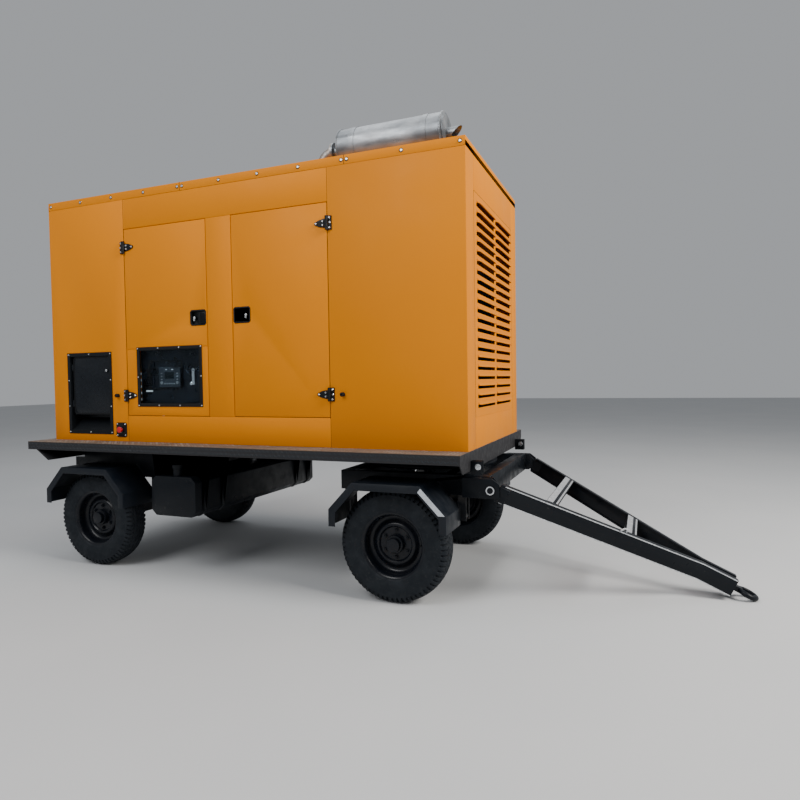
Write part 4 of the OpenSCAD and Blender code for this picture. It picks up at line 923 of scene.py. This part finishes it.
def outlet_pocket():
    """The pocket's flange with ten rivets, three capped outlets, and the inner door with its lock and rim."""
    dress(POWDER, "outlet_pocket")
    low, high = local_box("outlet_pocket")
    inset = 0.014
    x0, x1, z0, z1 = low[0] + inset, high[0] - inset, low[2] + inset, high[2] - inset
    places = [(x, low[1], z) for x in (x0, x1) for z in np.linspace(z0, z1, 4)]
    places += [((x0 + x1) / 2, low[1], z) for z in (z0, z1)]
    fasten("pocket_rivets", RIVET, places, RIGHT)
    middle = (low + high) / 2
    cap = revolve([(0.0001, 0), (0.036, 0), (0.036, 0.008), (0.030, 0.014), (0.012, 0.016), (0.0001, 0.016)], 32)
    for name, x, colour in (("red", -0.130, (0.42, 0.02, 0.02)), ("blue", 0.0, (0.02, 0.07, 0.35)),
                            ("green", 0.130, (0.02, 0.20, 0.06))):
        shape = stamp(cap, (middle[0] + x, -HALF_W + 0.050, middle[2] + 0.060), RIGHT)
        piece("outlet_cap_" + name, shape, moulded_black("outlet_" + name, colour, 0.35))
    soften("outlet_door", 0.0015, moulded_black("inner_door", (0.0045, 0.0065, 0.0095), 0.28))
    low, high = local_box("outlet_door")
    back, rim = high[1] - 0.012, 0.012
    front, x0, x1, z0, z1 = back - 0.0015, low[0] + 0.016, high[0], low[2], high[2]
    fold = join(slab((x0, front, z0), (x0 + rim, back, z1)), slab((x1 - rim, front, z0), (x1, back, z1)),
                slab((x0, front, z0), (x1, back, z0 + rim)), slab((x0, front, z1 - rim), (x1, back, z1)))
    piece("inner_door_rim", fold, PLASTIC, "outlet_door")
    lock = revolve([(0.010, 0), (0.010, 0.003), (0.007, 0.004), (0.001, 0.004), (0.001, 0)], 20)
    place = (x1 - 0.034, low[1], z1 - 0.117)
    piece("inner_door_lock", stamp(lock, place, RIGHT), CHROME, "outlet_door")


def emergency_stop():
    """The stop's plate with four screws and a pale ring, and a mushroom button on its stem."""
    soften("estop_plate", 0.002, PLASTIC)
    low, high = local_box("estop_button")
    x, _, z = (low + high) / 2
    deep = low[1] - high[1]
    head = revolve([(0.0001, 0), (0.014, -0.0005), (0.022, -0.0025), (0.025, -0.006), (0.0235, -0.009),
                    (0.017, -0.0105), (0.011, -0.011), (0.011, deep), (0.0001, deep)], 36)
    piece("stop_mushroom", stamp(head, (x, low[1], z), RIGHT), RED, "estop_button", ["estop_button"])
    ring = revolve([(0.0135, 0), (0.021, 0), (0.021, 0.0010), (0.0135, 0.0012)], 36)
    plate = local_box("estop_plate")[0][1]
    piece("stop_ring", stamp(ring, (x, plate, z), RIGHT), CHROME)
    corners = [(x + dx, -HALF_W - 0.006, z + dz) for dx in (-0.041, 0.041) for dz in (-0.045, 0.045)]
    fasten("stop_screws", RIVET, corners, RIGHT)


# ---------------------------------------------------------------- deck and chassis

# How far the drawbar drops below level, and how far its arms lean inwards.
BAR_DROP = math.asin(0.748 / 1.769)
BAR_LEAN = math.atan(0.625 / 1.354)


def lozenge():
    """A raised mark of chequer plate: a long diamond with a short ridge, open underneath."""
    length, width, height = 0.015, 0.0045, 0.0016
    verts = np.array([(-length, 0, 0), (0, -width, 0), (length, 0, 0), (0, width, 0),
                      (-length / 2.5, 0, height), (length / 2.5, 0, height)])
    return verts, [np.array([(0, 1, 4), (1, 5, 4), (1, 2, 5), (2, 3, 5), (3, 4, 5), (3, 0, 4)])]


def chequer(places, direction, odd):
    """Marks at many places, each leaning one way or the other by turns."""
    leaning = [moved(lozenge(), Matrix.Rotation(math.radians(lean), 4, "Z")) for lean in (45, -45)]
    return join(stamp(leaning[0], places[~odd], direction), stamp(leaning[1], places[odd], direction))


def lattice(a0, a1, b0, b1, pitch=0.030):
    """Even places over a rectangle, with the colour of each square as on a chess board."""
    na, nb = max(int((a1 - a0) / pitch), 1), max(int((b1 - b0) / pitch), 1)
    i, j = [k.ravel() for k in np.meshgrid(np.arange(na), np.arange(nb), indexing="ij")]
    return a0 + (i + 0.5) * (a1 - a0) / na, b0 + (j + 0.5) * (b1 - b0) / nb, (i + j) % 2 == 1


def deck_plate():
    """Chequer marks on the deck beside and behind the canopy, and on its folded edges."""
    dress(deck_chequer(), "deck")
    dark = chassis_black("deck_edge_black", (0.022, 0.026, 0.031), 0.3)
    low, high = local_box("deck")
    edge = 0.012
    x0, x1 = low[0] + edge, high[0] - edge

    def top_marks(name, *area):
        x, y, odd = lattice(*area)
        marks = chequer(np.stack([x, y, np.zeros_like(x)], 1), (0, 0, 1), odd)
        piece("deck_marks_" + name, marks, MARKS)

    for name, side in SIDES.items():
        top_marks(name, x0, x1, *sorted((side * (HALF_W + 0.006), side * (high[1] - edge))))
        x, z, odd = lattice(x0, x1, -0.060, -0.005, 0.0185)
        rim = chequer(np.stack([x, np.full_like(x, side * high[1]), z], 1), (0, side, 0), odd)
        piece("deck_edge_marks_" + name, rim, dark)
    top_marks("front", HALF_L + 0.006, x1, -HALF_W, HALF_W)
    top_marks("rear", x0, -HALF_L - 0.030, -HALF_W, HALF_W)


def chassis():
    """Frames, axles, springs and tank in black paint, with bright bolts in the ears and at the pins."""
    for node in ("chassis_frame", "bogie_frame", "fuel_tank"):
        soften(node, 0.0025, BLACK)
    dress(BLACK, "rear_axle", "front_axle", "engine_skid")
    dress(LEAF, "rear_springs", "front_springs")
    ear_x, ear_z, ear_in, ear_out = 1.875, -0.100, 0.710, 0.740
    ring = revolve([(0.0206, 0), (0.0280, 0), (0.0280, 0.0025), (0.0206, 0.0025)], 32)
    pin = joint_place("drawbar_lift")
    for name, side in SIDES.items():
        out = (0, side, 0)
        bolt = join(stamp(prism(ngon(0.0095, 16), ear_out - ear_in), (ear_x, side * ear_in, ear_z), out),
                    stamp(HEX, (ear_x, side * 0.750, ear_z), out),
                    stamp(HEX, (ear_x, side * 0.700, ear_z), (0, -side, 0)))
        piece("ear_bolts_" + name, bolt, ZINC)
        washer = stamp(ring, (pin[0], side * 0.7223, pin[2]), out)
        piece("pin_washer_" + name, washer, ZINC, "bogie")


def fenders():
    """Fenders with rounded folds; reflective tape lies on the front slopes of the front pair."""
    for node in ("rear_fenders", "front_fenders"):
        soften(node, 0.0015, FENDER)
    high = local_box("front_fenders")[1]
    axle = joint_place("right_front_roll")[0]
    start, end = np.array([axle + 0.246, high[2] - 0.012]), np.array([axle + 0.406, high[2] - 0.178])
    along = (end - start) / np.linalg.norm(end - start)
    inward = np.array([along[1], -along[0]])
    near, far = 0.002 * inward, 0.034 * inward
    outline = [start + near, end + near, start + far + 0.004 * along, end + far - 0.030 * along]
    tape = reflector_tape()
    for name, side in SIDES.items():
        corners = [(x, side * (high[1] + lift), z) for lift in (0.0, 0.0007) for x, z in outline]
        piece("fender_tape_" + name, block(corners), tape, "bogie")


def bar_frame(points):
    """Points of the level drawbar (u ahead of its hinge, y, w up), dropped with the drawbar."""
    pin = joint_place("drawbar_lift")
    fall, level = math.sin(BAR_DROP), math.cos(BAR_DROP)
    u, y, w = np.asarray(points, float).T
    return np.stack([pin[0] + u * level + w * fall, y, pin[2] - u * fall + w * level], 1)


def drawbar():
    """Black arms and crossbars with pale steel strips on the arms' flange edges and pale plates on the crossbars'
    tops, painted reflection of the sky; a hook on the right arm, and the eye.
    """
    soften("drawbar", 0.002, BLACK)
    soften("tow_eye", 0.002, BLACK)
    root, kink, nose, nose_y = 0.046, 1.400, 1.620, 0.075

    def arm_y(u, inset=0.0):
        """Half the distance between the arms' outer faces, less an inset."""
        if u >= kink:
            return nose_y - inset
        return nose_y + (kink - u) * math.tan(BAR_LEAN) - inset / math.cos(BAR_LEAN)

    # Painted reflection: thin pale steel strips along the upper and lower flange edges of each arm's outer face
    # stand for the sky's glare on glossy black paint.
    strips = []
    for side in (-1, 1):
        for levels in ((0.0576, 0.0648), (-0.0548, -0.0476)):
            for ends in ((root + 0.03, kink), (kink, nose - 0.004)):
                strips.append([(u, side * (arm_y(u) + out), w) for u in ends for out in (0.0001, 0.0007)
                               for w in levels])
    # Painted reflection: thin pale plates on the crossbars' tops stand for the sky's glare seen from above.
    reflection_plates = [[(u, side * (arm_y(u, 0.050) - 0.004), w)
               for u in ends for side in (-1, 1) for w in (0.0652, 0.0660)]
              for ends in ((0.333, 0.371), (0.391, 0.402), (0.863, 0.901), (0.921, 0.932))]
    for name, solids in (("painted_reflection_flange_edges", strips), ("painted_reflection_crossbar_tops", reflection_plates)):
        piece(name, join(*[block(bar_frame(corners)) for corners in solids]), STEEL, "drawbar")
    u = 0.824
    y = -arm_y(u) - 0.006
    bends = ((0, 0.006, 0.060), (0, -0.010, 0.066), (0.006, -0.018, 0.082), (0.018, -0.014, 0.098),
             (0.034, -0.010, 0.096), (0.036, -0.006, 0.080))
    hook = tube(smooth_path(bar_frame([(u + du, y + dy, w) for du, dy, w in bends])), 0.005, 10)
    piece("cable_hook", hook, STEEL, "drawbar")


# ---------------------------------------------------------------- wheels

def tyre_shape(radius, half_width):
    """A tyre: a section carried round the axle. Zigzag grooves follow a triangle wave round the tread,
    notches cut the shoulders between lugs, and low ribs ring the sidewalls."""
    full_radius, full_half = 0.3875, 0.098
    k, w = radius / full_radius, half_width / full_half
    half = np.array([(0.2115, 0.0740), (0.2150, 0.0800), (0.2300, 0.0880), (0.2520, 0.0945), (0.2850, 0.0980),
                     (0.3180, 0.0968), (0.3450, 0.0915), (0.3620, 0.0860), (0.3720, 0.0770), (0.3785, 0.0620),
                     (0.3835, 0.0400), (0.3865, 0.0200)])
    section = np.concatenate([half * (1, -1), [(full_radius, 0.0)], half[::-1]]) * (k, w)
    section = smooth_path(np.column_stack([section, np.zeros(len(section))]), 12)[:, :2]
    length = np.concatenate([[0], np.cumsum(np.linalg.norm(np.diff(section, axis=0), axis=1))])
    rings, turns, pitches = 92, 512, 64
    even = np.linspace(0, length[-1], rings)
    r, y = np.interp(even, length, section[:, 0]), np.interp(even, length, section[:, 1])
    normal = np.stack([np.gradient(y), -np.gradient(r)], 1)
    normal *= np.sign(normal[rings // 2, 0]) / np.linalg.norm(normal, axis=1)[:, None]
    angle = np.linspace(0, 2 * np.pi, turns, endpoint=False)[:, None]
    wave = np.abs((angle * pitches / (2 * np.pi)) % 1 * 2 - 1) * 2 - 1
    height = np.zeros((turns, rings))
    on_tread = r > 0.3725 * k
    for line, way in ((-0.050, 1), (-0.0165, -1), (0.0165, 1), (0.050, -1)):
        away = np.abs(y[None] / w - line - 0.0055 * wave * way)
        height -= 0.008 * on_tread * np.clip(1.6 - away / 0.0028, 0, 1)
    notch = np.clip((wave - 0.05) / 0.25, 0, 1)
    shoulder = np.clip((np.abs(y) / w - 0.060) / 0.004, 0, 1) * np.clip((r / k - 0.342) / 0.006, 0, 1)
    height -= 0.0105 * shoulder * notch
    for ring, wide, tall in ((0.2330, 0.0030, 0.0022), (0.2420, 0.0020, 0.0012), (0.3400, 0.0030, 0.0018)):
        height += tall * np.clip(1.5 - np.abs(r[None] / k - ring) / wide, 0, 1)
    rr, yy = r + height * normal[:, 0], y + height * normal[:, 1]
    return net(np.stack([rr * np.cos(angle), rr * np.sin(angle), yy], 2), True, True)


def rim_shapes():
    """A wheel: rolled barrel with lips, dished disc with a raised ring, hub, and a domed cap."""
    inside = np.array([(0.2285, 0.0800), (0.2265, 0.0845), (0.2210, 0.0845), (0.2100, 0.0775), (0.2040, 0.0700),
                       (0.2000, 0.0500)])
    outside = np.array([(0.2075, 0.0500), (0.2080, 0.0680), (0.2135, 0.0730), (0.2235, 0.0790)])
    barrel = np.concatenate([inside, inside[::-1] * (1, -1), outside[::-1] * (1, -1), outside])
    disc = [(0.2000, 0.0220), (0.1960, 0.0060), (0.1840, -0.0040), (0.1700, -0.0060), (0.1560, 0.0020),
            (0.1450, 0.0160), (0.1340, 0.0240), (0.1220, 0.0240), (0.1150, 0.0180), (0.1110, 0.0100),
            (0.0610, 0.0100), (0.0610, 0.0020), (0.1120, 0.0020), (0.1190, 0.0090), (0.1250, 0.0160),
            (0.1320, 0.0160), (0.1400, 0.0090), (0.1510, -0.0050), (0.1690, -0.0140), (0.1880, -0.0120),
            (0.2000, 0.0020)]
    hub = [(0.0440, -0.0600), (0.0620, -0.0600), (0.0620, 0.0400), (0.0590, 0.0440), (0.0480, 0.0450),
           (0.0480, 0.0640), (0.0450, 0.0700), (0.0300, 0.0720), (0.0001, 0.0725), (0.0001, 0.0640),
           (0.0420, 0.0630), (0.0440, 0.0600)]
    return join(revolve(barrel, 96), revolve(disc, 96), revolve(hub, 48))


def wheels():
    """Four wheels. The outer side of each disc faces away from the trailer."""
    low, high = local_box("right_front_tyre")
    nuts, bolt_circle = 6, 0.092
    turn = np.linspace(0, 2 * np.pi, nuts, endpoint=False) + np.pi / nuts
    nut = join(prism(ngon(0.014, 6), 0.014), dome(0.009, 0.019, 8), prism(ngon(0.021, 18), 0.003))
    places = np.stack([bolt_circle * np.cos(turn), bolt_circle * np.sin(turn), np.full(nuts, 0.010)], 1)
    valve = tube([(0.176, 0, -0.008), (0.178, 0, 0.020), (0.184, 0, 0.034)], 0.0045, 8)
    tread = tyre_shape((high[2] - low[2]) / 2, (high[1] - low[1]) / 2)
    parts = (("_tyre_tread", tread, TYRE, "tyre_rubber", ["_tyre"], 50),
             ("_rim_disc", rim_shapes(), RIM, "rim_paint", ["_rim"], 40),
             ("_wheel_nuts", stamp(nut, places), RIM, "rim_paint", [], 35),
             ("_valve", valve, RUBBER, "rim_paint", [], 35))
    for wheel in WHEELS:
        middle = sum(local_box(wheel + "_tyre")) / 2
        for end, shape, material, slot, nodes, sharp in parts:
            placed = stamp(shape, middle, (0, side_of(wheel), 0))
            piece(wheel + end, placed, material, wheel + "_wheel", [wheel + node for node in nodes], sharp)


# ---------------------------------------------------------------- exhaust and power unit

def exhaust():
    """The roof muffler: dull aluminised drum with crimped end lips, a lapped seam and a heat-browned pipe."""
    soften("muffler", 0.003, ALUMINISED)
    soften("exhaust_pipe", 0.002, HEAT)
    y, z, radius, x0, x1, points = -0.205, 2.260, 0.155, 0.694, 1.512, 64
    turn = np.linspace(0, 2 * np.pi, points, endpoint=False)
    lip = np.stack([np.zeros(points), y + (radius + 0.001) * np.cos(turn), z + (radius + 0.001) * np.sin(turn)], 1)
    rings = [tube(lip + (x, 0, 0), 0.0055, 10, True) for x in (x0, x1)]
    piece("muffler_crimps", join(*rings), ALUMINISED)
    lap = slab((x0 + 0.006, y - 0.004, z + radius - 0.001), (x1 - 0.006, y + 0.004, z + radius + 0.0016))
    piece("muffler_seam", lap, ALUMINISED, bevel=0.0005)


def belt(x, centres, radii, thick):
    """A belt round two pulleys: the outer tangents leave each circle where sin(a) = (R - r) / distance."""
    (y0, z0), (y1, z1) = centres
    gap = z1 - z0
    a = math.asin((radii[0] - radii[1]) / gap)
    lower = np.linspace(np.pi - a, 2 * np.pi + a, 40)
    upper = np.linspace(a, np.pi - a, 40)
    path = [(x, y0 + radii[0] * math.cos(t), z0 + radii[0] * math.sin(t)) for t in lower]
    path += [(x, y1 + radii[1] * math.cos(t), z1 + radii[1] * math.sin(t)) for t in upper]
    return tube(path, thick, 8, True)


def power_unit():
    """Engine, alternator, radiator, fan, cleaner and batteries, with belt, hoses, fuel lines and cables."""
    dress(IRON, "engine_block", "cylinder_head", "crank_pulley")
    dress(enamel("fan_blue", (0.03, 0.10, 0.22), 0.35), "cooling_fan")
    dress(moulded_black("cleaner_black", (0.012, 0.013, 0.014), 0.4), "air_cleaner")
    soften("alternator", 0.004, enamel("alternator_blue", (0.020, 0.060, 0.150), 0.38))
    soften("radiator", 0.003, BLACK)
    soften("battery", 0.003, moulded_black("battery_black", (0.014, 0.015, 0.017), 0.35))
    crank, fan = (0.0, 0.520), (0.0, 0.820)
    belts = [belt(x, (crank, fan), (0.1065, 0.0845), 0.0052) for x in (1.348, 1.361)]
    piece("fan_belts", join(*belts), RUBBER)
    low, high = local_box("radiator")
    fins = [slab((low[0] - 0.004, low[1] + 0.07, z - 0.0012), (low[0] - 0.0005, high[1] - 0.07, z + 0.0012))
            for z in np.linspace(low[2] + 0.12, high[2] - 0.12, 60)]
    piece("radiator_fins", join(*fins), fin_core())
    head_low, head_high = local_box("cylinder_head")
    top, side = head_high[2], head_low[1]
    hose = smooth_path([(head_high[0] - 0.06, 0.14, top - 0.04), (head_high[0] + 0.05, 0.16, top + 0.02),
                        (low[0] - 0.10, 0.22, high[2] - 0.16), (low[0] + 0.005, 0.24, high[2] - 0.14)])
    piece("radiator_hose", tube(hose, 0.026, 16), RUBBER)
    lines, cylinders = [], 6
    for i in range(cylinders):
        x = head_low[0] + 0.12 + i * (head_high[0] - head_low[0] - 0.24) / (cylinders - 1)
        bends = [(x, side + 0.03, top - 0.001), (x, side + 0.01, top + 0.05),
                 (x - 0.03, side - 0.02, top - 0.02), (x - 0.05, side - 0.008, top - 0.14)]
        lines.append(tube(smooth_path(bends), 0.004, 8))
    piece("fuel_lines", join(*lines), STEEL)
    low, high = local_box("battery")
    y, top = (low[1] + high[1]) / 2, high[2]
    xs = (low[0] + 0.09, low[0] + 0.41, high[0] - 0.41, high[0] - 0.09)
    post = join(prism(ngon(0.010, 16), 0.022), dome(0.010, 0.026, 12))
    piece("battery_posts", stamp(post, [(x, y, top) for x in xs]), STEEL)
    cable = smooth_path([(xs[1], y, top + 0.024), (xs[1] + 0.04, y, top + 0.06),
                         (xs[2] - 0.04, y, top + 0.06), (xs[2], y, top + 0.024)])
    piece("battery_cable", tube(cable, 0.008, 12), RUBBER)


canopy_skin()
end_walls()
roof_screws()
panel_seams()
linings()
door_hardware()
stop_buffers()
window()
cabinet()
controller()
outlet_pocket()
emergency_stop()
deck_plate()
chassis()
fenders()
drawbar()
wheels()
exhaust()
power_unit()
